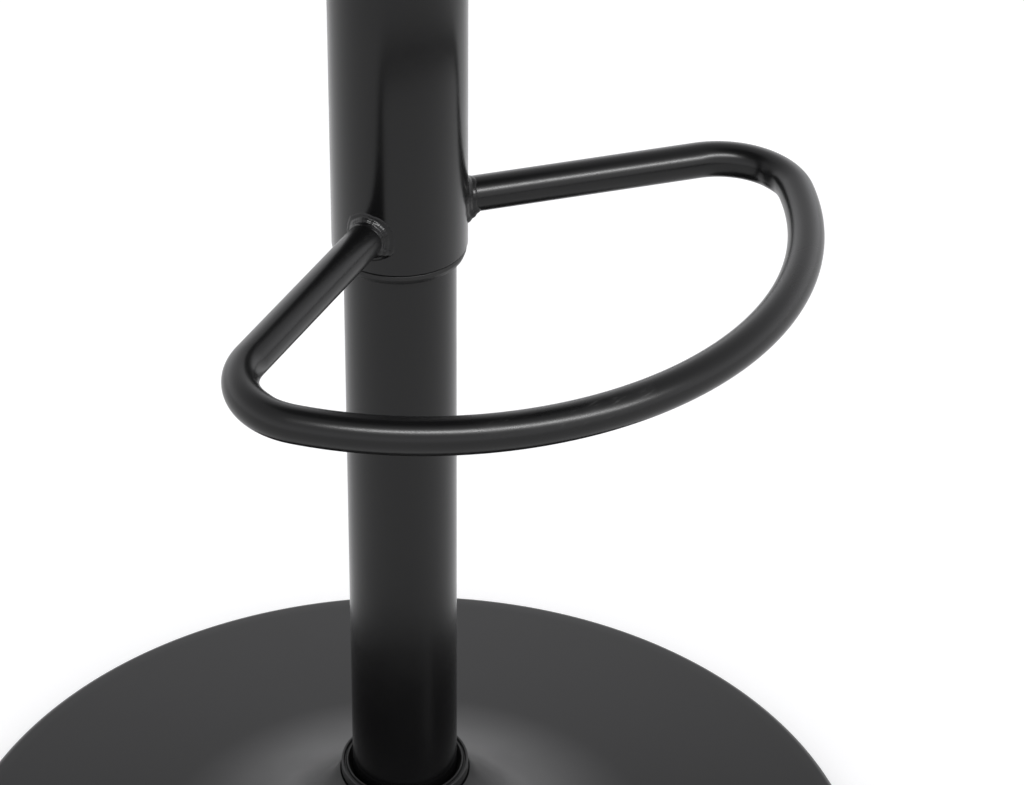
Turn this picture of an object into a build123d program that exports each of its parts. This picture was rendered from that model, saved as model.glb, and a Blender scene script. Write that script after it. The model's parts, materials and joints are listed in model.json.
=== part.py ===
from build123d import *

import os
from math import cos, radians, sin, sqrt, tan

# Bar stool with a footrest, drawn with the seat fully raised.
# A pressed trumpet base carries a fixed column. A sleeve with the welded footrest loop slides and
# turns on the column, carried by a gas lift inside it, and a round padded seat sits on top.
# Millimetres, +Z up, origin on the floor on the column's axis. The stool faces -Y.

# --- Driving dimensions -------------------------------------------------------------------------

# Base shell: (radius, height) where the flare starts, and where it ends at the neck
BASE_RADIUS = 225
SHEET = 2
HEM_HEIGHT = 3
HEM_INNER_RADIUS = 214
HEM_ROUNDING = 2.5
RIM_TOP = 12
RIM_ROUNDING = 4
FLARE_START = (128, 18.8)
FLARE_MIDDLE = (78, 30)
NECK_EDGE = (31.2, 77)

# Base plate, the ring under it, and the flange that is screwed to it
PLATE_RADIUS = 217
PLATE_BOTTOM = 5
PLATE_THICKNESS = 5
ACCESS_RADIUS = 22
RING_RADII = (196, 213)
RING_CHAMFER = 1
FLANGE_RADIUS = 52
FLANGE_THICKNESS = 8
FLANGE_CHAMFER = 1.5
SCREW_CIRCLE = 38
SCREW_COUNT = 4
SCREW_START = 45
SCREW_RADIUS = 4
SCREW_HEAD_RADIUS = 8
SCREW_LENGTH = 12
HEX_SOCKET_RADIUS = 2.9
HEX_SOCKET_DEPTH = 3

# Column, neck collar and guide bush
COLUMN_RADIUS = 25
COLUMN_WALL = 2
COLUMN_TOP = 450
COLLAR_BOTTOM = 62
COLLAR_TOP = 82.5
COLLAR_RADIUS = 30.5
COLLAR_SKIRT = 3.5
COLLAR_LIP = 0.5
COLLAR_GROOVE_DEPTH = 1.2
COLLAR_GROOVE = (28.3, 28.9)
COLLAR_CREST = (27.3, 27.9)
COLLAR_BORE_CHAMFER = 5
BUSH_LENGTH = 120
BUSH_LIP = 3
BUSH_CHAMFER = 1
RUNNING_GAP = 0.3

# Sleeve and its guide ring
SLEEVE_RADIUS = 30
SLEEVE_WALL = 1.5
SLEEVE_BOTTOM = 374
SLEEVE_TOP = 680
SLEEVE_ROUNDING = 0.5
TOP_PLATE_THICKNESS = 3
GUIDE_RING_HEIGHT = 40
GUIDE_RING_DROP = 6.5
GUIDE_RING_EDGE = 0.5
GUIDE_RING_CONE_DROP = 2.8
GUIDE_FLANGE = (0.6, 2.4)
GUIDE_FLANGE_RADIUS = 29.4

# Footrest loop: two radial legs and one wide front arc, joined by tight bends
FOOTREST_HEIGHT = 392.4
TUBE_RADIUS = 8
TUBE_WALL = 1.5
LEG_ANGLE = 66
LEG_START = 20
FRONT_ARC_RADIUS = 164.3
FRONT_ARC_CENTRE = -18.45
BEND_RADIUS = 33.5
BEAD_WIDTH = 3.4
BEAD_REACH = 33.2

# Bearing at the foot of the column
PLUG_BOTTOM = 16
PLUG_THICKNESS = 6
PLUG_CLEARANCE = 1
RACE_RADII = (5.4, 12)
RACE_THICKNESS = 3
BALL_RADIUS = 2.4
BALL_CIRCLE = 8.7
BALL_COUNT = 10
BALL_HEIGHT = 26.4
CAGE_THICKNESS = 1.6
CAGE_EDGE_GAP = 0.4
CAGE_BALL_GAP = 0.1

# Piston rod and what is on it
ROD_END = 8
ROD_END_CHAMFER = 0.8
ROD_NECK_RADIUS = 4
ROD_RADIUS = 5
ROD_SHOULDER = 31
CLIP_BOTTOM = 12.6
CLIP_THICKNESS = 1.6
CLIP_GROOVE_RADIUS = 3.2
CLIP_WIDTH = 3
ROD_WASHER_RADIUS = 9
ROD_WASHER_THICKNESS = 1.5
BUMPER_RADIUS = 11.5
BUMPER_HEIGHT = 13
BUMPER_ROUNDING = 2.5
PISTON_BOTTOM = 281
PISTON_HEIGHT = 10
PISTON_RADIUS = 12.1
PISTON_STUD_RADIUS = 3.5
PISTON_STUD_OVERHANG = 2
SEAL_DEPTH = 1.3
SEAL_HEIGHT = 2.4
SEAL_PROUD = 0.1

# Gas cylinder, its valve and the release button
STROKE = 210
END_CLEARANCE = 4
CYLINDER_RADIUS = 14
CYLINDER_BORE = 12.5
CYLINDER_TOP = 716
CYLINDER_END_RADIUS = 5.6
CYLINDER_CHAMFER = 1
END_WALL = 2
TAPER_LENGTH = 60
TAPER_DROP = 1
GUIDE_HEIGHT = 14
ROD_SEAL_HEIGHT = 4
ROD_SEAL_GAP = 0.2
VALVE_RADIUS = 11
VALVE_BOTTOM = 662
VALVE_CONE = 3
STEM_RADIUS = 2
STEM_LENGTH = 22
STEM_BORE_DEPTH = 28
BUTTON_HEAD_BOTTOM = 720.8
BUTTON_HEAD_RADIUS = 4
BUTTON_DOME_RADIUS = 6
BUTTON_GAP = 0.4

# Socket, bracket and release lever
SOCKET_RADIUS = 20
BRACKET_HALF_LENGTH = 58
BRACKET_HALF_WIDTH = 22
BRACKET_SHEET = 3
BUTTON_HOLE_RADIUS = 8
LEVER_RADIUS = 4
LEVER_HEIGHT = 731
LEVER_PIVOT = -30
LEVER_INNER_END = 10
LEVER_BEND = -50
LEVER_BEND_RADIUS = 30
LEVER_OUTER_END = -182
LEVER_DROP_ANGLE = 12
PIN_RADIUS = 2
PIN_OVERHANG = 2
PIN_GAP = 0.2
GRIP_LENGTH = 58
GRIP_RADIUS = 7.5
GRIP_CAP = 4
GRIP_END_ROUNDING = 5
GRIP_MOUTH_ROUNDING = 2

# Seat plate and its fasteners
SEAT_PLATE_SIZE = 160
SEAT_PLATE_BOTTOM = 742
SEAT_PLATE_THICKNESS = 3
PLATE_CORNER = 16
LIP_DEPTH = 4
BOLT_SPACING = 124
BOLT_RADIUS = 3
BOLT_HOLE_GAP = 0.3
BOLT_LENGTH = 18
BOLT_HEAD_RADIUS = 5.8
BOLT_HEAD_HEIGHT = 4
SEAT_WASHER_RADIUS = 8
SEAT_WASHER_THICKNESS = 1.5
TNUT_BARREL_RADIUS = 4
TNUT_BARREL_LENGTH = 12
TNUT_FLANGE_RADIUS = 9.5
TNUT_FLANGE_THICKNESS = 1.5

# Seat
BOARD_RADIUS = 182
BOARD_THICKNESS = 15
CUSHION_TOP = 833.5
CROWN_RISE = 14
COVER_THICKNESS = 1.5
COVER_HEM_WIDTH = 22
WELT_RADIUS = 2
WELT_GAP = 0.1
WELT_LIFT = 0.5
DUST_COVER_RADIUS = 174
DUST_COVER_THICKNESS = 1
FELT_GAP = 0.5
STAPLE_COUNT = 20
STAPLE_CIRCLE = 168
STAPLE_WIDTH = 10
STAPLE_LEG = 8
STAPLE_WIRE = (1.2, 0.6)

# --- Sizes that follow from them ----------------------------------------------------------------

PLATE_TOP = PLATE_BOTTOM + PLATE_THICKNESS
COLUMN_BORE = COLUMN_RADIUS - COLUMN_WALL
COLLAR_SEAT = NECK_EDGE[1] + COLLAR_LIP
SLEEVE_BORE = SLEEVE_RADIUS - SLEEVE_WALL
TOP_PLATE_BOTTOM = SLEEVE_TOP - TOP_PLATE_THICKNESS
PLUG_TOP = PLUG_BOTTOM + PLUG_THICKNESS
ROD_WASHER_TOP = PLUG_BOTTOM - RUNNING_GAP
SEAL_BOTTOM = PISTON_BOTTOM + (PISTON_HEIGHT - SEAL_HEIGHT) / 2
CYLINDER_BOTTOM = ROD_SHOULDER + BUMPER_HEIGHT + END_CLEARANCE + STROKE
GUIDE_BOTTOM = CYLINDER_BOTTOM + END_WALL
TAPER_BOTTOM = CYLINDER_TOP - TAPER_LENGTH
BUTTON_TOP = LEVER_HEIGHT - LEVER_RADIUS - BUTTON_GAP
BRACKET_DEPTH = SEAT_PLATE_BOTTOM - CYLINDER_TOP
PIN_HALF_LENGTH = BRACKET_HALF_WIDTH + PIN_OVERHANG
WASHER_BOTTOM = SEAT_PLATE_BOTTOM - SEAT_WASHER_THICKNESS
SEAT_PLATE_TOP = SEAT_PLATE_BOTTOM + SEAT_PLATE_THICKNESS
HEM_BOTTOM = SEAT_PLATE_TOP + DUST_COVER_THICKNESS
BOARD_BOTTOM = HEM_BOTTOM + COVER_THICKNESS
BOARD_TOP = BOARD_BOTTOM + BOARD_THICKNESS
COVER_RADIUS = BOARD_RADIUS + COVER_THICKNESS
SHOULDER_HEIGHT = CUSHION_TOP - CROWN_RISE
CROWN_RADIUS = (COVER_RADIUS**2 + CROWN_RISE**2) / (2 * CROWN_RISE)
WELT_CIRCLE = COVER_RADIUS + WELT_RADIUS + WELT_GAP
FELT_RADIUS = COVER_RADIUS - COVER_HEM_WIDTH - FELT_GAP


def taper_radius(height):
    """Outer radius of the gas cylinder at a height within its top taper."""
    return CYLINDER_RADIUS - TAPER_DROP * (height - TAPER_BOTTOM) / TAPER_LENGTH


# --- Base ---------------------------------------------------------------------------------------

# Pressed shell: turned-in hem, rounded rim, shallow slope and the two arcs that rise to the neck.
slope = Vector(*FLARE_START) - Vector(BASE_RADIUS, RIM_TOP)
with BuildPart() as base_shell:
    with BuildSketch(Plane.XZ):
        with BuildLine():
            FilletPolyline(
                (HEM_INNER_RADIUS, HEM_HEIGHT),
                (BASE_RADIUS, HEM_HEIGHT),
                (BASE_RADIUS, RIM_TOP),
                FLARE_START,
                radius=[HEM_ROUNDING, RIM_ROUNDING],
            )
            flare = TangentArc(FLARE_START, FLARE_MIDDLE, tangent=slope)
            TangentArc(FLARE_MIDDLE, NECK_EDGE, tangent=flare % 1)
            offset(amount=SHEET, side=Side.LEFT)
        make_face()
    revolve(axis=Axis.Z)

# Steel ballast disc with countersunk holes from below.
with BuildPart() as base_plate:
    with BuildSketch(Plane.XY.offset(PLATE_BOTTOM)):
        Circle(PLATE_RADIUS)
        Circle(ACCESS_RADIUS, mode=Mode.SUBTRACT)
    extrude(amount=PLATE_THICKNESS)
    with Locations(Location((0, 0, PLATE_BOTTOM), (180, 0, 0))):
        with PolarLocations(SCREW_CIRCLE, SCREW_COUNT, start_angle=SCREW_START):
            CounterSinkHole(SCREW_RADIUS, SCREW_HEAD_RADIUS, counter_sink_angle=90)

# Rubber ring that the stool stands on.
with BuildPart() as floor_ring:
    with BuildSketch():
        Circle(RING_RADII[1])
        Circle(RING_RADII[0], mode=Mode.SUBTRACT)
    extrude(amount=PLATE_BOTTOM)
    chamfer(floor_ring.faces().sort_by(Axis.Z)[0].edges(), length=RING_CHAMFER)

with BuildPart() as column_flange:
    with BuildSketch(Plane.XY.offset(PLATE_TOP)):
        Circle(FLANGE_RADIUS)
        Circle(COLUMN_RADIUS, mode=Mode.SUBTRACT)
        with PolarLocations(SCREW_CIRCLE, SCREW_COUNT, start_angle=SCREW_START):
            Circle(SCREW_RADIUS, mode=Mode.SUBTRACT)
    extrude(amount=FLANGE_THICKNESS)
    top_edges = column_flange.faces().sort_by(Axis.Z)[-1].edges()
    chamfer(top_edges.sort_by(SortBy.LENGTH)[-1], length=FLANGE_CHAMFER)

with BuildPart() as base_screws:
    with PolarLocations(SCREW_CIRCLE, SCREW_COUNT, start_angle=SCREW_START):
        with Locations((0, 0, PLATE_BOTTOM)):
            Cone(
                SCREW_HEAD_RADIUS,
                SCREW_RADIUS,
                SCREW_HEAD_RADIUS - SCREW_RADIUS,
                align=(Align.CENTER, Align.CENTER, Align.MIN),
            )
            Cylinder(SCREW_RADIUS, SCREW_LENGTH, align=(Align.CENTER, Align.CENTER, Align.MIN))
    with BuildSketch(Plane.XY.offset(PLATE_BOTTOM)):
        with PolarLocations(SCREW_CIRCLE, SCREW_COUNT, start_angle=SCREW_START):
            RegularPolygon(radius=HEX_SOCKET_RADIUS, side_count=6)
    extrude(amount=HEX_SOCKET_DEPTH, mode=Mode.SUBTRACT)

with BuildPart() as column_tube:
    with BuildSketch(Plane.XY.offset(PLATE_TOP)):
        Circle(COLUMN_RADIUS)
        Circle(COLUMN_BORE, mode=Mode.SUBTRACT)
    extrude(amount=COLUMN_TOP - PLATE_TOP)

# Collar that closes the neck of the base around the column: two lips with a groove between them.
with BuildPart() as neck_collar:
    with BuildSketch(Plane.XZ):
        with BuildLine():
            Polyline(
                (COLUMN_RADIUS, COLLAR_BOTTOM),
                (COLUMN_RADIUS + COLLAR_SKIRT, COLLAR_BOTTOM),
                (COLUMN_RADIUS + COLLAR_SKIRT, COLLAR_SEAT),
                (COLLAR_RADIUS, COLLAR_SEAT),
                (COLLAR_RADIUS, COLLAR_TOP - COLLAR_LIP),
                (COLLAR_RADIUS - COLLAR_LIP, COLLAR_TOP),
                (COLLAR_GROOVE[1] + COLLAR_LIP, COLLAR_TOP),
                (COLLAR_GROOVE[1], COLLAR_TOP - COLLAR_GROOVE_DEPTH),
                (COLLAR_GROOVE[0], COLLAR_TOP - COLLAR_GROOVE_DEPTH),
                (COLLAR_CREST[1], COLLAR_TOP),
                (COLLAR_CREST[0], COLLAR_TOP),
                (COLUMN_RADIUS, COLLAR_TOP - COLLAR_BORE_CHAMFER),
                close=True,
            )
        make_face()
    revolve(axis=Axis.Z)

# --- Bearing at the foot of the column ----------------------------------------------------------

with BuildPart() as column_plug:
    with BuildSketch(Plane.XY.offset(PLUG_BOTTOM)):
        Circle(COLUMN_BORE)
        Circle(ROD_NECK_RADIUS + PLUG_CLEARANCE, mode=Mode.SUBTRACT)
    extrude(amount=PLUG_THICKNESS)

with BuildPart() as thrust_race_lower:
    with BuildSketch(Plane.XY.offset(PLUG_TOP)):
        Circle(RACE_RADII[1])
        Circle(RACE_RADII[0], mode=Mode.SUBTRACT)
    extrude(amount=RACE_THICKNESS)
    with Locations((0, 0, BALL_HEIGHT)):
        Torus(BALL_CIRCLE, BALL_RADIUS, mode=Mode.SUBTRACT)

with BuildPart() as thrust_balls:
    with Locations((0, 0, BALL_HEIGHT)):
        with PolarLocations(BALL_CIRCLE, BALL_COUNT):
            Sphere(BALL_RADIUS)

with BuildPart() as ball_cage:
    with BuildSketch(Plane.XY.offset(BALL_HEIGHT - CAGE_THICKNESS / 2)):
        Circle(RACE_RADII[1] - CAGE_EDGE_GAP)
        Circle(RACE_RADII[0] + CAGE_EDGE_GAP, mode=Mode.SUBTRACT)
        with PolarLocations(BALL_CIRCLE, BALL_COUNT):
            Circle(BALL_RADIUS + CAGE_BALL_GAP, mode=Mode.SUBTRACT)
    extrude(amount=CAGE_THICKNESS)

with BuildPart() as thrust_race_upper:
    with BuildSketch(Plane.XY.offset(ROD_SHOULDER - RACE_THICKNESS)):
        Circle(RACE_RADII[1])
        Circle(ROD_NECK_RADIUS, mode=Mode.SUBTRACT)
    extrude(amount=RACE_THICKNESS)
    with Locations((0, 0, BALL_HEIGHT)):
        Torus(BALL_CIRCLE, BALL_RADIUS + RUNNING_GAP, mode=Mode.SUBTRACT)

# Plastic bush that guides the gas cylinder in the top of the column.
with BuildPart() as guide_bush:
    with BuildSketch(Plane.XY.offset(COLUMN_TOP - BUSH_LENGTH)):
        Circle(COLUMN_BORE)
    extrude(amount=BUSH_LENGTH)
    with BuildSketch(Plane.XY.offset(COLUMN_TOP)):
        Circle(COLUMN_RADIUS)
    extrude(amount=BUSH_LIP)
    chamfer(guide_bush.faces().sort_by(Axis.Z)[-1].edges(), length=BUSH_CHAMFER)
    with Locations((0, 0, COLUMN_TOP)):
        Hole(CYLINDER_RADIUS + RUNNING_GAP)

# --- Piston rod ---------------------------------------------------------------------------------

with BuildPart() as piston_rod:
    with BuildSketch(Plane.XY.offset(ROD_END)):
        Circle(ROD_NECK_RADIUS)
    extrude(amount=ROD_SHOULDER - ROD_END)
    with BuildSketch(Plane.XY.offset(ROD_SHOULDER)):
        Circle(ROD_RADIUS)
    extrude(amount=PISTON_BOTTOM - ROD_SHOULDER)
    with BuildSketch(Plane.XY.offset(PISTON_BOTTOM)):
        Circle(PISTON_STUD_RADIUS)
    extrude(amount=PISTON_HEIGHT + PISTON_STUD_OVERHANG)
    with BuildSketch(Plane.XY.offset(CLIP_BOTTOM)):
        Circle(ROD_NECK_RADIUS)
        Circle(CLIP_GROOVE_RADIUS, mode=Mode.SUBTRACT)
    extrude(amount=CLIP_THICKNESS, mode=Mode.SUBTRACT)
    chamfer(piston_rod.faces().sort_by(Axis.Z)[0].edges(), length=ROD_END_CHAMFER)

# Round-wire clip, open on one side, with a washer over it.
with BuildPart() as rod_clip:
    with BuildSketch(Plane.XY.offset(CLIP_BOTTOM)):
        Circle(CLIP_GROOVE_RADIUS + CLIP_WIDTH)
        Circle(CLIP_GROOVE_RADIUS, mode=Mode.SUBTRACT)
        with Locations((0, CLIP_GROOVE_RADIUS)):
            Rectangle(CLIP_WIDTH, 3 * CLIP_WIDTH, mode=Mode.SUBTRACT)
    extrude(amount=CLIP_THICKNESS)

with BuildPart() as rod_washer:
    with BuildSketch(Plane.XY.offset(ROD_WASHER_TOP - ROD_WASHER_THICKNESS)):
        Circle(ROD_WASHER_RADIUS)
        Circle(ROD_NECK_RADIUS, mode=Mode.SUBTRACT)
    extrude(amount=ROD_WASHER_THICKNESS)

with BuildPart() as bumper:
    with BuildSketch(Plane.XY.offset(ROD_SHOULDER)):
        Circle(BUMPER_RADIUS)
        Circle(ROD_RADIUS, mode=Mode.SUBTRACT)
    extrude(amount=BUMPER_HEIGHT)
    bumper_edges = bumper.faces().sort_by(Axis.Z)[-1].edges()
    fillet(bumper_edges.sort_by(SortBy.LENGTH)[-1], radius=BUMPER_ROUNDING)

with BuildPart() as piston:
    with BuildSketch(Plane.XY.offset(PISTON_BOTTOM)):
        Circle(PISTON_RADIUS)
        Circle(PISTON_STUD_RADIUS, mode=Mode.SUBTRACT)
    extrude(amount=PISTON_HEIGHT)
    with BuildSketch(Plane.XY.offset(SEAL_BOTTOM)):
        Circle(PISTON_RADIUS)
        Circle(PISTON_RADIUS - SEAL_DEPTH, mode=Mode.SUBTRACT)
    extrude(amount=SEAL_HEIGHT, mode=Mode.SUBTRACT)

with BuildPart() as piston_seal:
    with BuildSketch(Plane.XY.offset(SEAL_BOTTOM)):
        Circle(PISTON_RADIUS + SEAL_PROUD)
        Circle(PISTON_RADIUS - SEAL_DEPTH, mode=Mode.SUBTRACT)
    extrude(amount=SEAL_HEIGHT)

# --- Gas cylinder -------------------------------------------------------------------------------

with BuildPart() as gas_cylinder:
    with BuildSketch(Plane.XZ):
        with BuildLine():
            Polyline(
                (CYLINDER_END_RADIUS, CYLINDER_BOTTOM),
                (CYLINDER_RADIUS - CYLINDER_CHAMFER, CYLINDER_BOTTOM),
                (CYLINDER_RADIUS, CYLINDER_BOTTOM + CYLINDER_CHAMFER),
                (CYLINDER_RADIUS, TAPER_BOTTOM),
                (taper_radius(CYLINDER_TOP), CYLINDER_TOP),
                (VALVE_RADIUS, CYLINDER_TOP),
                (VALVE_RADIUS, VALVE_BOTTOM),
                (CYLINDER_BORE, VALVE_BOTTOM - VALVE_CONE),
                (CYLINDER_BORE, GUIDE_BOTTOM),
                (CYLINDER_END_RADIUS, GUIDE_BOTTOM),
                close=True,
            )
        make_face()
    revolve(axis=Axis.Z)

with BuildPart() as rod_guide:
    with BuildSketch(Plane.XY.offset(GUIDE_BOTTOM)):
        Circle(CYLINDER_BORE)
        Circle(ROD_RADIUS + RUNNING_GAP, mode=Mode.SUBTRACT)
    extrude(amount=GUIDE_HEIGHT)

with BuildPart() as rod_seal:
    with BuildSketch(Plane.XY.offset(GUIDE_BOTTOM + GUIDE_HEIGHT)):
        Circle(CYLINDER_BORE)
        Circle(ROD_RADIUS + ROD_SEAL_GAP, mode=Mode.SUBTRACT)
    extrude(amount=ROD_SEAL_HEIGHT)

with BuildPart() as valve_body:
    with BuildSketch(Plane.XY.offset(VALVE_BOTTOM)):
        Circle(VALVE_RADIUS)
    extrude(amount=CYLINDER_TOP - VALVE_BOTTOM)
    with BuildSketch(Plane.XY.offset(CYLINDER_TOP)):
        Circle(STEM_RADIUS + RUNNING_GAP)
    extrude(amount=-STEM_BORE_DEPTH, mode=Mode.SUBTRACT)

# Release button: a stem in the valve and a domed head under the lever.
dome_drop = BUTTON_DOME_RADIUS - sqrt(BUTTON_DOME_RADIUS**2 - BUTTON_HEAD_RADIUS**2)
with BuildPart() as release_button:
    with BuildSketch(Plane.XY.offset(BUTTON_HEAD_BOTTOM - STEM_LENGTH)):
        Circle(STEM_RADIUS)
    extrude(amount=STEM_LENGTH)
    with BuildSketch(Plane.XZ):
        with BuildLine():
            head_side = Polyline(
                (0, BUTTON_TOP),
                (0, BUTTON_HEAD_BOTTOM),
                (BUTTON_HEAD_RADIUS, BUTTON_HEAD_BOTTOM),
                (BUTTON_HEAD_RADIUS, BUTTON_TOP - dome_drop),
            )
            RadiusArc(head_side @ 1, head_side @ 0, -BUTTON_DOME_RADIUS)
        make_face()
    revolve(axis=Axis.Z)

# --- Sleeve and footrest ------------------------------------------------------------------------

with BuildPart() as sleeve:
    with BuildSketch(Plane.XY.offset(SLEEVE_BOTTOM)):
        Circle(SLEEVE_RADIUS)
        Circle(SLEEVE_BORE, mode=Mode.SUBTRACT)
    extrude(amount=SLEEVE_TOP - SLEEVE_BOTTOM)
    sleeve_edges = sleeve.faces().sort_by(Axis.Z)[0].edges()
    fillet(sleeve_edges.sort_by(SortBy.LENGTH)[-1], radius=SLEEVE_ROUNDING)

# The plate in the sleeve's top wedges on the taper of the gas cylinder.
with BuildPart() as sleeve_top_plate:
    with BuildSketch(Plane.XZ):
        with BuildLine():
            Polyline(
                (taper_radius(TOP_PLATE_BOTTOM), TOP_PLATE_BOTTOM),
                (SLEEVE_BORE, TOP_PLATE_BOTTOM),
                (SLEEVE_BORE, SLEEVE_TOP),
                (taper_radius(SLEEVE_TOP), SLEEVE_TOP),
                close=True,
            )
        make_face()
    revolve(axis=Axis.Z)

# Plastic guide in the sleeve's lower end: a thin flange below the sleeve, tapering to the column.
guide_bore = COLUMN_RADIUS + RUNNING_GAP
with BuildPart() as sleeve_guide_ring:
    with BuildSketch(Plane.XZ):
        with BuildLine():
            Polyline(
                (guide_bore, SLEEVE_BOTTOM - GUIDE_RING_DROP),
                (guide_bore + GUIDE_RING_EDGE, SLEEVE_BOTTOM - GUIDE_RING_DROP),
                (GUIDE_FLANGE_RADIUS - GUIDE_RING_EDGE, SLEEVE_BOTTOM - GUIDE_RING_CONE_DROP),
                (GUIDE_FLANGE_RADIUS, SLEEVE_BOTTOM - GUIDE_FLANGE[1]),
                (GUIDE_FLANGE_RADIUS, SLEEVE_BOTTOM - GUIDE_FLANGE[0]),
                (SLEEVE_BORE, SLEEVE_BOTTOM - GUIDE_FLANGE[0]),
                (SLEEVE_BORE, SLEEVE_BOTTOM + GUIDE_RING_HEIGHT),
                (guide_bore, SLEEVE_BOTTOM + GUIDE_RING_HEIGHT),
                close=True,
            )
        make_face()
    revolve(axis=Axis.Z)

# Centreline of the loop. Each leg runs straight out from the axis until the bend that is tangent
# both to the leg and to the front arc, and leg_length solves where that bend begins.
hub = Vector(0, 0, FOOTREST_HEIGHT)
leg_direction = Vector(sin(radians(LEG_ANGLE)), -cos(radians(LEG_ANGLE)), 0)
leg_normal = Vector(-cos(radians(LEG_ANGLE)), -sin(radians(LEG_ANGLE)), 0)
arc_centre = hub + Vector(0, FRONT_ARC_CENTRE, 0)
inset = hub + leg_normal * BEND_RADIUS - arc_centre
along = inset.dot(leg_direction)
leg_length = -along + sqrt(along**2 - inset.dot(inset) + (FRONT_ARC_RADIUS - BEND_RADIUS) ** 2)
leg_end = hub + leg_direction * leg_length
bend_centre = leg_end + leg_normal * BEND_RADIUS
bend_end = arc_centre + (bend_centre - arc_centre).normalized() * FRONT_ARC_RADIUS
front_point = arc_centre - Vector(0, FRONT_ARC_RADIUS, 0)

# The right half is swept and mirrored, then both legs are coped to the sleeve.
with BuildPart() as footrest_loop:
    with BuildLine() as half_loop:
        leg = Line(hub + leg_direction * LEG_START, leg_end)
        bend = TangentArc(leg_end, bend_end, tangent=leg_direction)
        TangentArc(bend_end, front_point, tangent=bend % 1)
    with BuildSketch(Plane(leg @ 0, z_dir=leg_direction)):
        Circle(TUBE_RADIUS)
        Circle(TUBE_RADIUS - TUBE_WALL, mode=Mode.SUBTRACT)
    sweep(path=half_loop.line)
    mirror(about=Plane.YZ)
    with Locations(hub):
        Cylinder(SLEEVE_RADIUS, 4 * TUBE_RADIUS, mode=Mode.SUBTRACT)

# Weld bead around each leg's root, shaped to the sleeve.
with BuildPart() as footrest_welds:
    for side in (1, -1):
        leg_axis = Vector(side * leg_direction.X, leg_direction.Y, 0)
        with BuildSketch(Plane(hub, x_dir=leg_axis, z_dir=(0, 0, 1))):
            with BuildLine():
                Polyline(
                    (LEG_START, TUBE_RADIUS),
                    (BEAD_REACH, TUBE_RADIUS),
                    (BEAD_REACH - BEAD_WIDTH, TUBE_RADIUS + BEAD_WIDTH),
                    (LEG_START, TUBE_RADIUS + BEAD_WIDTH),
                    close=True,
                )
            make_face()
        revolve(axis=Axis(hub, leg_axis))
    with Locations(hub):
        Cylinder(SLEEVE_RADIUS, 6 * TUBE_RADIUS, mode=Mode.SUBTRACT)

# --- Seat fixing and release lever --------------------------------------------------------------

with BuildPart() as taper_socket:
    with BuildSketch(Plane.XZ):
        with BuildLine():
            Polyline(
                (taper_radius(SLEEVE_TOP), SLEEVE_TOP),
                (SOCKET_RADIUS, SLEEVE_TOP),
                (SOCKET_RADIUS, CYLINDER_TOP),
                (taper_radius(CYLINDER_TOP), CYLINDER_TOP),
                close=True,
            )
        make_face()
    revolve(axis=Axis.Z)

# Channel under the seat plate: its web rests on the socket, its cheeks hold the lever's pin.
with BuildPart() as lever_bracket:
    with BuildSketch(Plane.XY.offset(CYLINDER_TOP)):
        Rectangle(2 * BRACKET_HALF_LENGTH, 2 * BRACKET_HALF_WIDTH)
    extrude(amount=BRACKET_DEPTH)
    with BuildSketch(Plane.XY.offset(CYLINDER_TOP + BRACKET_SHEET)):
        Rectangle(2 * BRACKET_HALF_LENGTH, 2 * (BRACKET_HALF_WIDTH - BRACKET_SHEET))
    extrude(amount=BRACKET_DEPTH, mode=Mode.SUBTRACT)
    with BuildSketch(Plane.XY.offset(CYLINDER_TOP)):
        Circle(BUTTON_HOLE_RADIUS)
    extrude(amount=BRACKET_SHEET, mode=Mode.SUBTRACT)
    with BuildSketch(Plane.XZ.offset(-BRACKET_HALF_WIDTH)):
        with Locations((LEVER_PIVOT, LEVER_HEIGHT)):
            Circle(PIN_RADIUS)
    extrude(amount=2 * BRACKET_HALF_WIDTH, mode=Mode.SUBTRACT)

with BuildPart() as lever_pivot_pin:
    with BuildSketch(Plane.XZ.offset(-PIN_HALF_LENGTH)):
        with Locations((LEVER_PIVOT, LEVER_HEIGHT)):
            Circle(PIN_RADIUS)
    extrude(amount=2 * PIN_HALF_LENGTH)

lever_end_height = LEVER_HEIGHT - (LEVER_BEND - LEVER_OUTER_END) * tan(radians(LEVER_DROP_ANGLE))
lever_end = Vector(LEVER_OUTER_END, 0, lever_end_height)
lever_outward = Vector(-cos(radians(LEVER_DROP_ANGLE)), 0, -sin(radians(LEVER_DROP_ANGLE)))
with BuildPart() as lever_rod:
    with BuildLine() as lever_path:
        FilletPolyline(
            (LEVER_INNER_END, 0, LEVER_HEIGHT),
            (LEVER_BEND, 0, LEVER_HEIGHT),
            lever_end,
            radius=LEVER_BEND_RADIUS,
        )
    with BuildSketch(Plane(lever_path.line @ 0, z_dir=lever_path.line % 0)):
        Circle(LEVER_RADIUS)
    sweep(path=lever_path.line)
    with BuildSketch(Plane.XZ.offset(-2 * LEVER_RADIUS)):
        with Locations((LEVER_PIVOT, LEVER_HEIGHT)):
            Circle(PIN_RADIUS + PIN_GAP)
    extrude(amount=4 * LEVER_RADIUS, mode=Mode.SUBTRACT)

grip_start = lever_end - lever_outward * (GRIP_LENGTH - GRIP_CAP)
with BuildPart() as lever_grip:
    with BuildSketch(Plane(grip_start, z_dir=lever_outward)):
        Circle(GRIP_RADIUS)
    extrude(amount=GRIP_LENGTH)
    grip_ends = lever_grip.edges().filter_by(GeomType.CIRCLE).sort_by(Axis.X)
    fillet(grip_ends[0], radius=GRIP_END_ROUNDING)
    fillet(grip_ends[-1], radius=GRIP_MOUTH_ROUNDING)
    with BuildSketch(Plane(grip_start, z_dir=lever_outward)):
        Circle(LEVER_RADIUS)
    extrude(amount=GRIP_LENGTH - GRIP_CAP, mode=Mode.SUBTRACT)

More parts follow.
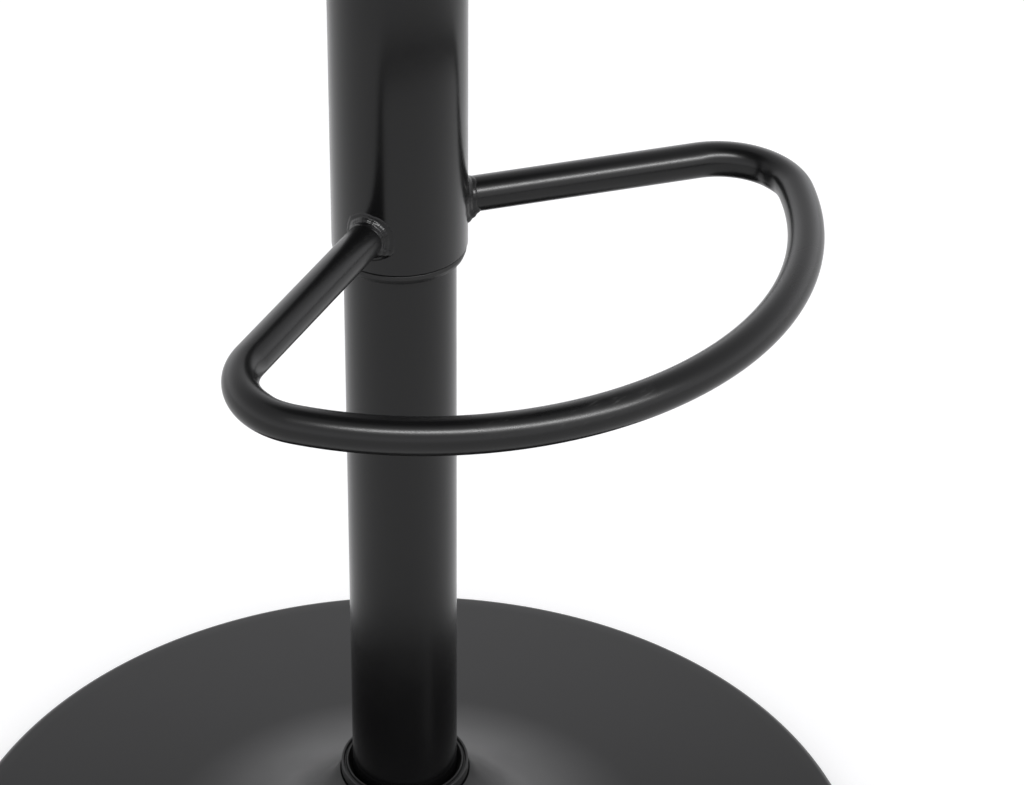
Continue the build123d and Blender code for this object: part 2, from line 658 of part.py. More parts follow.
with BuildPart() as seat_plate:
    with BuildSketch(Plane.XY.offset(SEAT_PLATE_BOTTOM - LIP_DEPTH)):
        RectangleRounded(SEAT_PLATE_SIZE, SEAT_PLATE_SIZE, PLATE_CORNER)
    extrude(amount=SEAT_PLATE_THICKNESS + LIP_DEPTH)
    with BuildSketch(Plane.XY.offset(SEAT_PLATE_BOTTOM - LIP_DEPTH)):
        inner_size = SEAT_PLATE_SIZE - 2 * SEAT_PLATE_THICKNESS
        RectangleRounded(inner_size, inner_size, PLATE_CORNER - SEAT_PLATE_THICKNESS)
    extrude(amount=LIP_DEPTH, mode=Mode.SUBTRACT)
    with BuildSketch(Plane.XY.offset(SEAT_PLATE_BOTTOM)):
        with GridLocations(BOLT_SPACING, BOLT_SPACING, 2, 2):
            Circle(BOLT_RADIUS + BOLT_HOLE_GAP)
    extrude(amount=SEAT_PLATE_THICKNESS, mode=Mode.SUBTRACT)

with BuildPart() as seat_washers:
    with BuildSketch(Plane.XY.offset(WASHER_BOTTOM)):
        with GridLocations(BOLT_SPACING, BOLT_SPACING, 2, 2):
            Circle(SEAT_WASHER_RADIUS)
            Circle(BOLT_RADIUS, mode=Mode.SUBTRACT)
    extrude(amount=SEAT_WASHER_THICKNESS)

with BuildPart() as seat_bolts:
    with BuildSketch(Plane.XY.offset(WASHER_BOTTOM - BOLT_HEAD_HEIGHT)):
        with GridLocations(BOLT_SPACING, BOLT_SPACING, 2, 2):
            RegularPolygon(radius=BOLT_HEAD_RADIUS, side_count=6)
    extrude(amount=BOLT_HEAD_HEIGHT)
    with BuildSketch(Plane.XY.offset(WASHER_BOTTOM)):
        with GridLocations(BOLT_SPACING, BOLT_SPACING, 2, 2):
            Circle(BOLT_RADIUS)
    extrude(amount=BOLT_LENGTH)

with BuildPart() as t_nuts:
    with BuildSketch(Plane.XY.offset(BOARD_TOP)):
        with GridLocations(BOLT_SPACING, BOLT_SPACING, 2, 2):
            Circle(TNUT_FLANGE_RADIUS)
            Circle(BOLT_RADIUS, mode=Mode.SUBTRACT)
    extrude(amount=-TNUT_FLANGE_THICKNESS)
    with BuildSketch(Plane.XY.offset(BOARD_TOP - TNUT_FLANGE_THICKNESS)):
        with GridLocations(BOLT_SPACING, BOLT_SPACING, 2, 2):
            Circle(TNUT_BARREL_RADIUS)
            Circle(BOLT_RADIUS, mode=Mode.SUBTRACT)
    extrude(amount=-TNUT_BARREL_LENGTH)

# --- Seat ---------------------------------------------------------------------------------------

with BuildPart() as seat_board:
    with BuildSketch(Plane.XY.offset(BOARD_BOTTOM)):
        Circle(BOARD_RADIUS)
    extrude(amount=BOARD_THICKNESS)
    with Locations((0, 0, BOARD_TOP)):
        with GridLocations(BOLT_SPACING, BOLT_SPACING, 2, 2):
            CounterBoreHole(TNUT_BARREL_RADIUS, TNUT_FLANGE_RADIUS, TNUT_FLANGE_THICKNESS)

inner_crown_top = CUSHION_TOP - COVER_THICKNESS
inner_crown_radius = CROWN_RADIUS - COVER_THICKNESS
inner_crown_drop = inner_crown_radius - sqrt(inner_crown_radius**2 - BOARD_RADIUS**2)
with BuildPart() as seat_foam:
    with BuildSketch(Plane.XZ):
        with BuildLine():
            foam_side = Polyline(
                (0, inner_crown_top),
                (0, BOARD_TOP),
                (BOARD_RADIUS, BOARD_TOP),
                (BOARD_RADIUS, inner_crown_top - inner_crown_drop),
            )
            RadiusArc(foam_side @ 1, foam_side @ 0, -inner_crown_radius)
        make_face()
    revolve(axis=Axis.Z)

# Cover: one skin over the crown, down the side and turned in under the board.
with BuildPart() as seat_cover:
    with BuildSketch(Plane.XZ):
        with BuildLine():
            cover_side = Polyline(
                (COVER_RADIUS - COVER_HEM_WIDTH, HEM_BOTTOM),
                (COVER_RADIUS, HEM_BOTTOM),
                (COVER_RADIUS, SHOULDER_HEIGHT),
            )
            RadiusArc(cover_side @ 1, (0, CUSHION_TOP), -CROWN_RADIUS)
            offset(amount=COVER_THICKNESS, side=Side.LEFT)
        make_face()
    revolve(axis=Axis.Z)

with BuildPart() as seat_welts:
    with Locations((0, 0, HEM_BOTTOM + WELT_RADIUS), (0, 0, SHOULDER_HEIGHT + WELT_LIFT)):
        Torus(WELT_CIRCLE, WELT_RADIUS)

# Dust cover: cloth over the turned-in hem, with a felt pad inside the hem.
with BuildPart() as dust_cover:
    with BuildSketch(Plane.XY.offset(SEAT_PLATE_TOP)):
        Circle(DUST_COVER_RADIUS)
    extrude(amount=DUST_COVER_THICKNESS)
    with BuildSketch(Plane.XY.offset(HEM_BOTTOM)):
        Circle(FELT_RADIUS)
    extrude(amount=COVER_THICKNESS)
    with BuildSketch(Plane.XY.offset(SEAT_PLATE_TOP)):
        with GridLocations(BOLT_SPACING, BOLT_SPACING, 2, 2):
            Circle(TNUT_BARREL_RADIUS)
    extrude(amount=BOARD_BOTTOM - SEAT_PLATE_TOP, mode=Mode.SUBTRACT)

with BuildPart() as staples:
    with Locations((0, 0, SEAT_PLATE_TOP - STAPLE_WIRE[1])):
        with PolarLocations(STAPLE_CIRCLE, STAPLE_COUNT):
            Box(
                STAPLE_WIRE[0],
                STAPLE_WIDTH,
                STAPLE_LEG,
                align=(Align.CENTER, Align.CENTER, Align.MIN),
            )
    with Locations((0, 0, SEAT_PLATE_TOP)):
        with PolarLocations(STAPLE_CIRCLE, STAPLE_COUNT):
            Box(
                2 * STAPLE_WIRE[0],
                STAPLE_WIDTH - 2 * STAPLE_WIRE[1],
                STAPLE_LEG,
                align=(Align.CENTER, Align.CENTER, Align.MIN),
                mode=Mode.SUBTRACT,
            )

# --- Write one STEP file per piece --------------------------------------------------------------

pieces = {
    "base_shell": base_shell,
    "base_plate": base_plate,
    "floor_ring": floor_ring,
    "column_flange": column_flange,
    "base_screws": base_screws,
    "column_tube": column_tube,
    "neck_collar": neck_collar,
    "column_plug": column_plug,
    "thrust_race_lower": thrust_race_lower,
    "thrust_balls": thrust_balls,
    "ball_cage": ball_cage,
    "guide_bush": guide_bush,
    "thrust_race_upper": thrust_race_upper,
    "piston_rod": piston_rod,
    "rod_clip": rod_clip,
    "rod_washer": rod_washer,
    "bumper": bumper,
    "piston": piston,
    "piston_seal": piston_seal,
    "gas_cylinder": gas_cylinder,
    "rod_guide": rod_guide,
    "rod_seal": rod_seal,
    "valve_body": valve_body,
    "release_button": release_button,
    "sleeve": sleeve,
    "sleeve_top_plate": sleeve_top_plate,
    "sleeve_guide_ring": sleeve_guide_ring,
    "footrest_loop": footrest_loop,
    "footrest_welds": footrest_welds,
    "taper_socket": taper_socket,
    "lever_bracket": lever_bracket,
    "lever_pivot_pin": lever_pivot_pin,
    "lever_rod": lever_rod,
    "lever_grip": lever_grip,
    "seat_plate": seat_plate,
    "seat_washers": seat_washers,
    "seat_bolts": seat_bolts,
    "t_nuts": t_nuts,
    "seat_board": seat_board,
    "seat_foam": seat_foam,
    "seat_cover": seat_cover,
    "seat_welts": seat_welts,
    "dust_cover": dust_cover,
    "staples": staples,
}

os.makedirs("parts", exist_ok=True)
for name, piece in pieces.items():
    piece.part.label = name
    export_step(piece.part, f"parts/{name}.step")
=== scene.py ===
import json
from math import acos, atan2, cos, exp, hypot, pi, radians, sin, sqrt, tan

import bmesh
import bpy
import numpy as np
from mathutils import Matrix, Vector, noise
from mathutils.bvhtree import BVHTree


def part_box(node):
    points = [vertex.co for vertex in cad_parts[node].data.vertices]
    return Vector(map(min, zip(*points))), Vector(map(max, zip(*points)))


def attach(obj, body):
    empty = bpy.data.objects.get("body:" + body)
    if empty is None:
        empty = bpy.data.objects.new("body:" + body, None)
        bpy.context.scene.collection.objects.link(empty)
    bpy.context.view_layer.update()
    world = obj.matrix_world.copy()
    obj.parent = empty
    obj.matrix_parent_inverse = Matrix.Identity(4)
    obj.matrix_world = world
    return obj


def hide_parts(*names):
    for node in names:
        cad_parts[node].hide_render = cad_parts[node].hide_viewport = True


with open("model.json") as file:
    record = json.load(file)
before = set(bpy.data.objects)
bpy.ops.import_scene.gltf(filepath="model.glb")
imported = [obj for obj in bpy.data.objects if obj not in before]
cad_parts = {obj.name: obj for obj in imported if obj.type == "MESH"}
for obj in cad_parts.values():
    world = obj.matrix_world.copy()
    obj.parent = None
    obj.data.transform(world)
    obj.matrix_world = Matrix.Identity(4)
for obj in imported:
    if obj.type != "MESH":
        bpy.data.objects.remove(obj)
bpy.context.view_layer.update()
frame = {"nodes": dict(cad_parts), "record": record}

# Looks of the bar stool with a footrest. Metres, +Z up, the stool faces -Y. The CAD frame holds
# every size; this script gives its pieces their surfaces, materials, light and camera.

MM = 0.001

# --- Sizes read from the frame ------------------------------------------------------------------

BASE_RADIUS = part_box("base_shell")[1].x
COLUMN_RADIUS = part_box("column_tube")[1].x
SLEEVE_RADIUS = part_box("sleeve")[1].x
LOOP_LOW, LOOP_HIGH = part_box("footrest_loop")
TUBE_RADIUS = (LOOP_HIGH.z - LOOP_LOW.z) / 2
LOOP_HEIGHT = (LOOP_HIGH.z + LOOP_LOW.z) / 2


# --- Shape helpers ------------------------------------------------------------------------------


def bell(distance, width):
    """1 at no distance, falling smoothly to nothing at about twice the width."""
    return exp(-((distance / width) ** 2))


def wrapped(angle):
    """The same angle between -pi and pi."""
    return (angle + pi) % (2 * pi) - pi


def ramp(value, low, high):
    """0 below low, 1 above high."""
    return max(0.0, min(1.0, (value - low) / (high - low)))


def piece(name, vertices, faces, material, body, sharp=35):
    """A smooth-shaded mesh object with one material, riding on a CAD body."""
    mesh = bpy.data.meshes.new(name)
    mesh.from_pydata([tuple(v) for v in vertices], [], [tuple(f) for f in faces])
    work = bmesh.new()
    work.from_mesh(mesh)
    bmesh.ops.remove_doubles(work, verts=work.verts, dist=1e-7)
    bmesh.ops.recalc_face_normals(work, faces=work.faces)
    work.to_mesh(mesh)
    work.free()
    mesh.polygons.foreach_set("use_smooth", [True] * len(mesh.polygons))
    mesh.set_sharp_from_angle(angle=radians(sharp))
    mesh.materials.append(material)
    obj = bpy.data.objects.new(name, mesh)
    bpy.context.scene.collection.objects.link(obj)
    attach(obj, body)
    return obj


def grid_faces(rows, columns, close_rows=True, close_columns=True):
    """Quads between consecutive rows of a vertex grid, wrapping round where it is closed."""
    faces = []
    for i in range(rows if close_rows else rows - 1):
        for j in range(columns if close_columns else columns - 1):
            a, b = i * columns, ((i + 1) % rows) * columns
            k = (j + 1) % columns
            faces.append((a + j, a + k, b + k, b + j))
    return faces


def arc(centre, first, last, steps):
    """Points of the arc about centre from centre + first to centre + last, the shorter way."""
    angle = atan2(first.x * last.y - first.y * last.x, first.dot(last))
    turns = [angle * k / steps for k in range(steps + 1)]
    return [centre + Matrix.Rotation(turn, 2) @ first for turn in turns]


def rounded(corners, steps=6):
    """Closed outline through (radius, height, fillet) corners in millimetres, as metres."""
    outline = []
    count = len(corners)
    for i, (x, z, fillet) in enumerate(corners):
        here = Vector((x, z))
        before = (Vector(corners[i - 1][:2]) - here).normalized()
        after = (Vector(corners[(i + 1) % count][:2]) - here).normalized()
        half = acos(max(-1, min(1, before.dot(after)))) / 2
        if fillet == 0 or half > radians(89):
            outline.append(here * MM)
            continue
        start = here + before * (fillet / tan(half))
        end = here + after * (fillet / tan(half))
        centre = here + (before + after).normalized() * (fillet / sin(half))
        outline += [p * MM for p in arc(centre, start - centre, end - centre, steps)]
    return outline


def lathe(name, outline, material, body, segments=256, sharp=35):
    """Turns a closed outline of (radius, height) in metres about +Z."""
    turns = [2 * pi * k / segments for k in range(segments)]
    vertices = [(p[0] * cos(a), p[0] * sin(a), p[1]) for a in turns for p in outline]
    return piece(name, vertices, grid_faces(segments, len(outline)), material, body, sharp)


def tangent_arc(start, heading, end, steps):
    """Points of the arc that leaves start along heading and ends at end, without start."""
    start, end = Vector(start), Vector(end)
    heading = Vector(heading).normalized()
    normal = Vector((heading.y, -heading.x))
    chord = end - start
    radius = chord.length_squared / (2 * chord.dot(normal))
    centre = start + normal * radius
    return arc(centre, start - centre, end - centre, steps)[1:]


def thicken(path, thickness):
    """Closed outline of a sheet whose outer side is path; the sheet lies to the path's left."""
    inner = []
    for i, point in enumerate(path):
        direction = (path[min(i + 1, len(path) - 1)] - path[max(i - 1, 0)]).normalized()
        inner.append(point + Vector((-direction.y, direction.x)) * thickness)
    return path + inner[::-1]


# --- Materials ----------------------------------------------------------------------------------


COAT_SPECULAR = 0.3


class Surface:
    """A new material: its Principled shader, with short calls for the nodes that feed it."""

    def __init__(self, name, color, roughness, **constants):
        self.material = bpy.data.materials.new(name)
        self.material.use_nodes = True
        self.tree = self.material.node_tree
        self.shader = self.tree.nodes["Principled BSDF"]
        self.shader.inputs["Base Color"].default_value = (*color, 1)
        self.shader.inputs["Roughness"].default_value = roughness
        for socket, value in constants.items():
            self.shader.inputs[socket.replace("_", " ")].default_value = value
        self.object_place = self.add("ShaderNodeTexCoord").outputs["Object"]
        self.material.diffuse_color = (*color, 1)

    def add(self, kind, **settings):
        node = self.tree.nodes.new(kind)
        for key, value in settings.items():
            setattr(node, key, value)
        return node

    def link(self, output, target):
        self.tree.links.new(output, target)

    def stretched(self, scale):
        """Object coordinates scaled per axis, for grain or scratches that run one way."""
        mapping = self.add("ShaderNodeMapping")
        mapping.inputs["Scale"].default_value = scale
        self.link(self.object_place, mapping.inputs["Vector"])
        return mapping.outputs["Vector"]

    def noise(self, scale, detail=3, roughness=0.5, distortion=0, place=None):
        node = self.add("ShaderNodeTexNoise")
        node.inputs["Scale"].default_value = scale
        node.inputs["Detail"].default_value = detail
        node.inputs["Roughness"].default_value = roughness
        node.inputs["Distortion"].default_value = distortion
        self.link(place or self.object_place, node.inputs["Vector"])
        return node.outputs["Fac"]

    def cells(self, scale, feature="F1", place=None):
        node = self.add("ShaderNodeTexVoronoi", feature=feature)
        node.inputs["Scale"].default_value = scale
        self.link(place or self.object_place, node.inputs["Vector"])
        return node.outputs["Distance"]

    def remap(self, value, low, high, to_low=0, to_high=1):
        node = self.add("ShaderNodeMapRange")
        node.inputs["From Min"].default_value = low
        node.inputs["From Max"].default_value = high
        node.inputs["To Min"].default_value = to_low
        node.inputs["To Max"].default_value = to_high
        self.link(value, node.inputs["Value"])
        return node.outputs["Result"]

    def math(self, operation, a, b=None):
        node = self.add("ShaderNodeMath", operation=operation)
        for socket, value in zip(node.inputs, (a, b)):
            if isinstance(value, (int, float)):
                socket.default_value = value
            elif value is not None:
                self.link(value, socket)
        return node.outputs["Value"]

    def mix(self, factor, first, second):
        """Mixes two colours, each a triple or a socket."""
        node = self.add("ShaderNodeMix", data_type="RGBA")
        self.link(factor, node.inputs["Factor"])
        for socket, value in zip((node.inputs[6], node.inputs[7]), (first, second)):
            if isinstance(value, tuple):
                socket.default_value = (*value, 1)
            else:
                self.link(value, socket)
        return node.outputs[2]

    def color(self, output):
        self.link(output, self.shader.inputs["Base Color"])

    def rough(self, output):
        self.link(output, self.shader.inputs["Roughness"])

    def bump(self, height, distance, strength=1.0, over=None):
        """A bump of that height in metres, laid over another bump if one is given."""
        node = self.add("ShaderNodeBump")
        node.inputs["Strength"].default_value = strength
        node.inputs["Distance"].default_value = distance
        self.link(height, node.inputs["Height"])
        if over is not None:
            self.link(over, node.inputs["Normal"])
        self.link(node.outputs["Normal"], self.shader.inputs["Normal"])
        return node.outputs["Normal"]


def powder_coat(name, roughness=0.3, tone=0.0015, dust=0.10):
    """Satin black powder coat: fine orange peel, faint waviness, cloudy gloss and dust specks."""
    s = Surface(name, (tone, tone, tone * 1.06), roughness, Specular_IOR_Level=COAT_SPECULAR)
    wave = s.bump(s.noise(28, detail=1), 0.00003)
    s.bump(s.noise(1500, detail=2), 0.0000025, over=wave)
    cloud = s.noise(22, detail=5, roughness=0.6)
    s.rough(s.remap(cloud, 0.3, 0.7, roughness - 0.03, roughness + 0.04))
    speck = s.remap(s.cells(260), 0.05, 0.03)
    rare = s.remap(s.noise(60, detail=0), 0.74, 0.78)
    dusty = s.math("MULTIPLY", s.math("MULTIPLY", speck, rare), dust)
    s.color(s.mix(dusty, (tone, tone, tone * 1.06), (0.25, 0.25, 0.24)))
    return s


def footrest_coat(name, roughness=0.27, tone=0.0015):
    """The same coat on the footrest, rubbed by shoes along its front arc."""
    s = powder_coat(name, roughness, tone)
    place = s.add("ShaderNodeSeparateXYZ")
    s.link(s.object_place, place.inputs["Vector"])
    front = s.remap(place.outputs["Y"], LOOP_LOW.y + 0.045, LOOP_LOW.y + 0.015)
    top = s.remap(place.outputs["Z"], LOOP_HEIGHT - 0.002, LOOP_HIGH.z)
    lines = s.noise(1, detail=4, roughness=0.7, place=s.stretched((90, 900, 900)))
    patches = s.noise(35, detail=3)
    worn = s.math("MULTIPLY", s.math("MULTIPLY", front, top), s.remap(patches, 0.55, 0.68))
    scratch = s.math("MULTIPLY", worn, s.remap(lines, 0.56, 0.70))
    s.color(s.mix(scratch, (tone, tone, tone * 1.06), (0.025, 0.025, 0.025)))
    s.rough(s.math("ADD", s.math("MULTIPLY", worn, 0.10), roughness))
    return s


def matte_plastic(name, tone=0.02, roughness=0.45):
    """Moulded plastic with a fine spark-eroded texture."""
    s = Surface(name, (tone, tone, tone), roughness, Specular_IOR_Level=COAT_SPECULAR)
    s.bump(s.noise(1800, detail=3, roughness=0.6), 0.00001)
    s.rough(s.remap(s.noise(40, detail=4), 0.3, 0.7, roughness - 0.05, roughness + 0.07))
    s.color(s.mix(s.noise(25), (tone * 0.8,) * 3, (tone * 1.3,) * 3))
    return s


def rubber(name):
    s = Surface(name, (0.018, 0.018, 0.018), 0.75)
    s.bump(s.noise(900, detail=4, roughness=0.7), 0.00003)
    s.color(s.mix(s.noise(60, detail=5), (0.012, 0.012, 0.012), (0.035, 0.034, 0.032)))
    return s


def steel(name, color, roughness, grain=(30, 30, 1200)):
    """Bare or plated metal with fine machining lines and a cloudy finish."""
    s = Surface(name, color, roughness, Metallic=1.0)
    lines = s.noise(1, detail=3, roughness=0.6, place=s.stretched(grain))
    s.bump(lines, 0.000006)
    s.rough(s.remap(s.noise(45, detail=5), 0.3, 0.7, roughness - 0.06, roughness + 0.1))
    dull = tuple(c * 0.7 for c in color)
    s.color(s.mix(s.remap(s.noise(18, detail=6), 0.35, 0.65), dull, color))
    return s


def plywood(name):
    """Birch face veneer: long wavy grain with darker late wood."""
    s = Surface(name, (0.5, 0.33, 0.18), 0.62)
    place = s.stretched((3, 42, 260))
    grain = s.noise(1, detail=6, roughness=0.6, distortion=1.2, place=place)
    fibre = s.noise(1, detail=3, place=s.stretched((30, 900, 900)))
    tone = s.math("ADD", s.math("MULTIPLY", grain, 0.75), s.math("MULTIPLY", fibre, 0.25))
    s.color(s.mix(s.remap(tone, 0.35, 0.65), (0.36, 0.21, 0.10), (0.62, 0.44, 0.26)))
    s.bump(fibre, 0.00004)
    return s


def foam(name):
    s = Surface(name, (0.75, 0.68, 0.45), 0.9)
    s.bump(s.cells(700), 0.0002)
    return s


def faux_leather(name):
    """Black faux leather: pebbled grain with soft creases between the pebbles."""
    s = Surface(name, (0.006, 0.006, 0.006), 0.42, Specular_IOR_Level=0.28)
    warp = s.noise(90, detail=3)
    bent = s.add("ShaderNodeVectorMath", operation="MULTIPLY_ADD")
    s.link(warp, bent.inputs[0])
    bent.inputs[1].default_value = (0.004, 0.004, 0.004)
    s.link(s.object_place, bent.inputs[2])
    place = bent.outputs["Vector"]
    pebbles = s.cells(850, feature="DISTANCE_TO_EDGE", place=place)
    crease = s.remap(pebbles, 0.0, 0.16)
    fine = s.noise(2600, detail=2)
    first = s.bump(crease, 0.00012, strength=0.8)
    s.bump(fine, 0.00002, over=first)
    s.rough(s.remap(crease, 0, 1, 0.50, 0.33))
    s.color(s.mix(s.noise(14, detail=4), (0.004, 0.004, 0.004), (0.009, 0.009, 0.0092)))
    return s


def cloth(name):
    """Spun-bonded dust cloth: matte fibres pressed in a fine dotted pattern."""
    s = Surface(name, (0.012, 0.012, 0.012), 0.95)
    fibres = s.noise(1, detail=4, roughness=0.7, place=s.stretched((700, 1100, 700)))
    first = s.bump(fibres, 0.0001)
    s.bump(s.cells(800), 0.00008, over=first)
    s.color(s.mix(s.remap(fibres, 0.4, 0.7), (0.008, 0.008, 0.008), (0.04, 0.04, 0.04)))
    return s


SURFACES = {
    "base_paint": powder_coat("base_coat", roughness=0.33),
    "column_paint": powder_coat("column_coat", roughness=0.22),
    "sleeve_paint": powder_coat("sleeve_coat", roughness=0.22),
    "footrest_paint": footrest_coat("footrest_coat"),
    "cylinder_paint": powder_coat("cylinder_coat", roughness=0.2),
    "mechanism_paint": powder_coat("mechanism_coat", roughness=0.4, tone=0.006),
    "black_plastic": matte_plastic("black_plastic", tone=0.0035, roughness=0.42),
    "bush_plastic": matte_plastic("bush_plastic", tone=0.05),
    "ring_rubber": rubber("ring_rubber"),
    "plate_steel": steel("plate_steel", (0.22, 0.21, 0.20), 0.5),
    "bearing_steel": steel("bearing_steel", (0.62, 0.62, 0.63), 0.15),
    "cage_brass": steel("cage_brass", (0.62, 0.43, 0.17), 0.3),
    "rod_chrome": steel("rod_chrome", (0.7, 0.7, 0.72), 0.08, grain=(20, 20, 2500)),
    "piston_aluminium": steel("piston_aluminium", (0.72, 0.72, 0.73), 0.3),
    "zinc": steel("zinc", (0.58, 0.57, 0.53), 0.33),
    "plywood": plywood("plywood"),
    "foam": foam("foam"),
    "faux_leather": faux_leather("faux_leather"),
    "dust_cloth": cloth("dust_cloth"),
}
MATERIALS = {slot: surface.material for slot, surface in SURFACES.items()}
MATERIALS["thread"] = matte_plastic("black_thread", tone=0.012, roughness=0.5).material


def paint_cad_nodes():
    for row in frame["record"]["subparts"]:
        node = frame["nodes"][row["node"]]
        node.data.materials.clear()
        node.data.materials.append(MATERIALS[row["material_slot"]])


def turned(name, outline, slot, body, node, segments=256, sharp=35):
    """A lathed piece that stands for a CAD node."""
    obj = lathe(name, outline, MATERIALS[slot], body, segments, sharp)
    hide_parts(node)
    return obj


# --- Base, column and sleeve --------------------------------------------------------------------

# Radii, widths and fillets in millimetres. The shell's points are (radius, height above its hem).
HEM_INNER_RADIUS = 214
HEM_ROUNDING = 2.5
RIM_HEIGHT = 9
RIM_ROUNDING = 4
FLARE_START = (128, 15.8)
FLARE_MIDDLE = (78, 27)
NECK_EDGE = (31.2, 74)
SHELL_THICKNESS = 2
SLOPE_STEPS = 10
COLUMN_WALL = 2
SLEEVE_WALL = 1.5
COLLAR_RADIUS = 30.5
COLLAR_PLUG_RADIUS = 28.4
COLLAR_BORE = 25
COLLAR_BAND = 5
COLLAR_GROOVE = 1.2
GUIDE_RUNNING_GAP = 0.3
GUIDE_FLANGE_RADIUS = 29.4
GUIDE_PLUG_RADIUS = 28.5
GUIDE_DROPS = (0.6, 2.6, 4.8)
FLOOR_RING_WIDTH = 17
FLOOR_RING_GROOVE = 0.8


def tube_outline(low, high, radius, wall, foot_rounding):
    """A tube's wall with its outer edges rounded at the foot and the top."""
    outer, inner = radius / MM, radius / MM - wall
    corners = [
        (outer, low / MM, foot_rounding),
        (outer, high / MM, 0.6),
        (inner, high / MM, 0.3),
        (inner, low / MM, 0.3),
    ]
    return rounded(corners)


def base_shell():
    """Pressed shell with a rolled rim, a shallow slope and a neck flared in two arcs."""
    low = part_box("base_shell")[0]
    hem_height = low.z
    rim_top = hem_height + RIM_HEIGHT * MM
    flare_start, flare_middle, neck_edge = (
        Vector((radius * MM, hem_height + height * MM))
        for radius, height in (FLARE_START, FLARE_MIDDLE, NECK_EDGE)
    )
    corners = [
        (HEM_INNER_RADIUS, hem_height / MM, 0),
        (BASE_RADIUS / MM, hem_height / MM, HEM_ROUNDING),
        (BASE_RADIUS / MM, rim_top / MM, RIM_ROUNDING),
        (flare_start.x / MM, flare_start.y / MM, 0),
    ]
    path = rounded(corners, steps=10)
    rim_corner = Vector((BASE_RADIUS, rim_top))
    slope = [rim_corner.lerp(flare_start, k / SLOPE_STEPS) for k in range(1, SLOPE_STEPS)]
    path = path[:-1] + slope + [flare_start]
    path += tangent_arc(flare_start, flare_start - rim_corner, flare_middle, 40)
    path += tangent_arc(flare_middle, path[-1] - path[-2], neck_edge, 48)
    outline = thicken(path, SHELL_THICKNESS * MM)
    turned("base_shell_skin", outline, "base_paint", "base", "base_shell", segments=384)


def column():
    low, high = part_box("column_tube")
    outline = tube_outline(low.z, high.z, COLUMN_RADIUS, COLUMN_WALL, foot_rounding=0.3)
    turned("column_skin", outline, "column_paint", "base", "column_tube")


def neck_collar():
    """Plastic collar between the shell's neck and the column, with a groove in its top."""
    low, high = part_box("neck_collar")
    top = high.z / MM
    corners = [
        (COLLAR_BORE, low.z / MM, 0),
        (COLLAR_PLUG_RADIUS, low.z / MM, 0.3),
        (COLLAR_PLUG_RADIUS + 0.2, top - COLLAR_BAND, 0),
        (COLLAR_RADIUS, top - COLLAR_BAND, 0.3),
        (COLLAR_RADIUS, top, 0.5),
        (COLLAR_RADIUS - 1.2, top, 0.3),
        (COLLAR_RADIUS - 1.6, top - COLLAR_GROOVE, 0.2),
        (COLLAR_RADIUS - 2.2, top - COLLAR_GROOVE, 0.2),
        (COLLAR_RADIUS - 2.6, top, 0.3),
        (COLLAR_RADIUS - 3.3, top, 0.4),
        (COLLAR_BORE, top - COLLAR_BAND, 0),
    ]
    turned("neck_collar_ring", rounded(corners, 4), "black_plastic", "base", "neck_collar")


def sleeve():
    low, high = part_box("sleeve")
    outline = tube_outline(low.z, high.z, SLEEVE_RADIUS, SLEEVE_WALL, foot_rounding=0.6)
    turned("sleeve_skin", outline, "sleeve_paint", "seat", "sleeve")


def sleeve_guide_ring():
    """Guide in the sleeve's lower end, with a thin flange that shows below the sleeve."""
    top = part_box("sleeve_guide_ring")[1].z / MM
    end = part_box("sleeve")[0].z / MM
    flange_top, flange_edge, flange_foot = (end - drop for drop in GUIDE_DROPS)
    bore = COLUMN_RADIUS / MM + GUIDE_RUNNING_GAP
    corners = [
        (bore, flange_foot, 0.1),
        (GUIDE_FLANGE_RADIUS - 0.8, flange_foot, 0.3),
        (GUIDE_FLANGE_RADIUS, flange_edge, 0.3),
        (GUIDE_FLANGE_RADIUS, flange_top, 0.3),
        (GUIDE_PLUG_RADIUS, flange_top, 0),
        (GUIDE_PLUG_RADIUS, top, 0.5),
        (bore, top, 0.5),
    ]
    name = "sleeve_guide_ring_moulding"
    turned(name, rounded(corners, 4), "black_plastic", "seat", "sleeve_guide_ring")


def floor_ring():
    """Rubber ring under the base, with a shallow groove round its tread."""
    low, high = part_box("floor_ring")
    outer = high.x / MM
    inner = outer - FLOOR_RING_WIDTH
    corners = [
        (inner, low.z / MM, 1.2),
        (outer - 10, low.z / MM, 0),
        (outer - 9.5, FLOOR_RING_GROOVE, 0),
        (outer - 7.5, FLOOR_RING_GROOVE, 0),
        (outer - 7, low.z / MM, 0),
        (outer, low.z / MM, 1.2),
        (outer, high.z / MM, 0.3),
        (inner, high.z / MM, 0.3),
    ]
    turned("floor_ring_moulding", rounded(corners, 4), "ring_rubber", "base", "floor_ring")


# --- Footrest -----------------------------------------------------------------------------------

LEG_ANGLE = radians(66)
FRONT_ARC_RADIUS = 164.3 * MM
BEND_RADIUS = 33.5 * MM
FRONT_ARC_CENTRE = Vector((0, LOOP_LOW.y + TUBE_RADIUS + FRONT_ARC_RADIUS))
LEG = Vector((sin(LEG_ANGLE), -cos(LEG_ANGLE)))
LEG_NORMAL = Vector((-cos(LEG_ANGLE), -sin(LEG_ANGLE)))
LEG_STEPS, BEND_STEPS, FRONT_STEPS = 70, 90, 110
TUBE_SIDES = 64
OVALITY = 0.035
# The crease's place and widths are shares of the bend.
CREASE_AT, CREASE_WIDTH = 0.68, 0.09
FOLD_AFTER, FOLD_WIDTH = 0.13, 0.07
WELD_TURNS, WELD_SIDES, WELD_PASSES = 360, 18, 3
WELD_WIDTH, WELD_REACH, WELD_ROOT = 3.9 * MM, 4.4 * MM, 1.2 * MM
WELD_SINK = 0.1 * MM
WELD_END, LUMP_WIDTH = radians(325), radians(13)


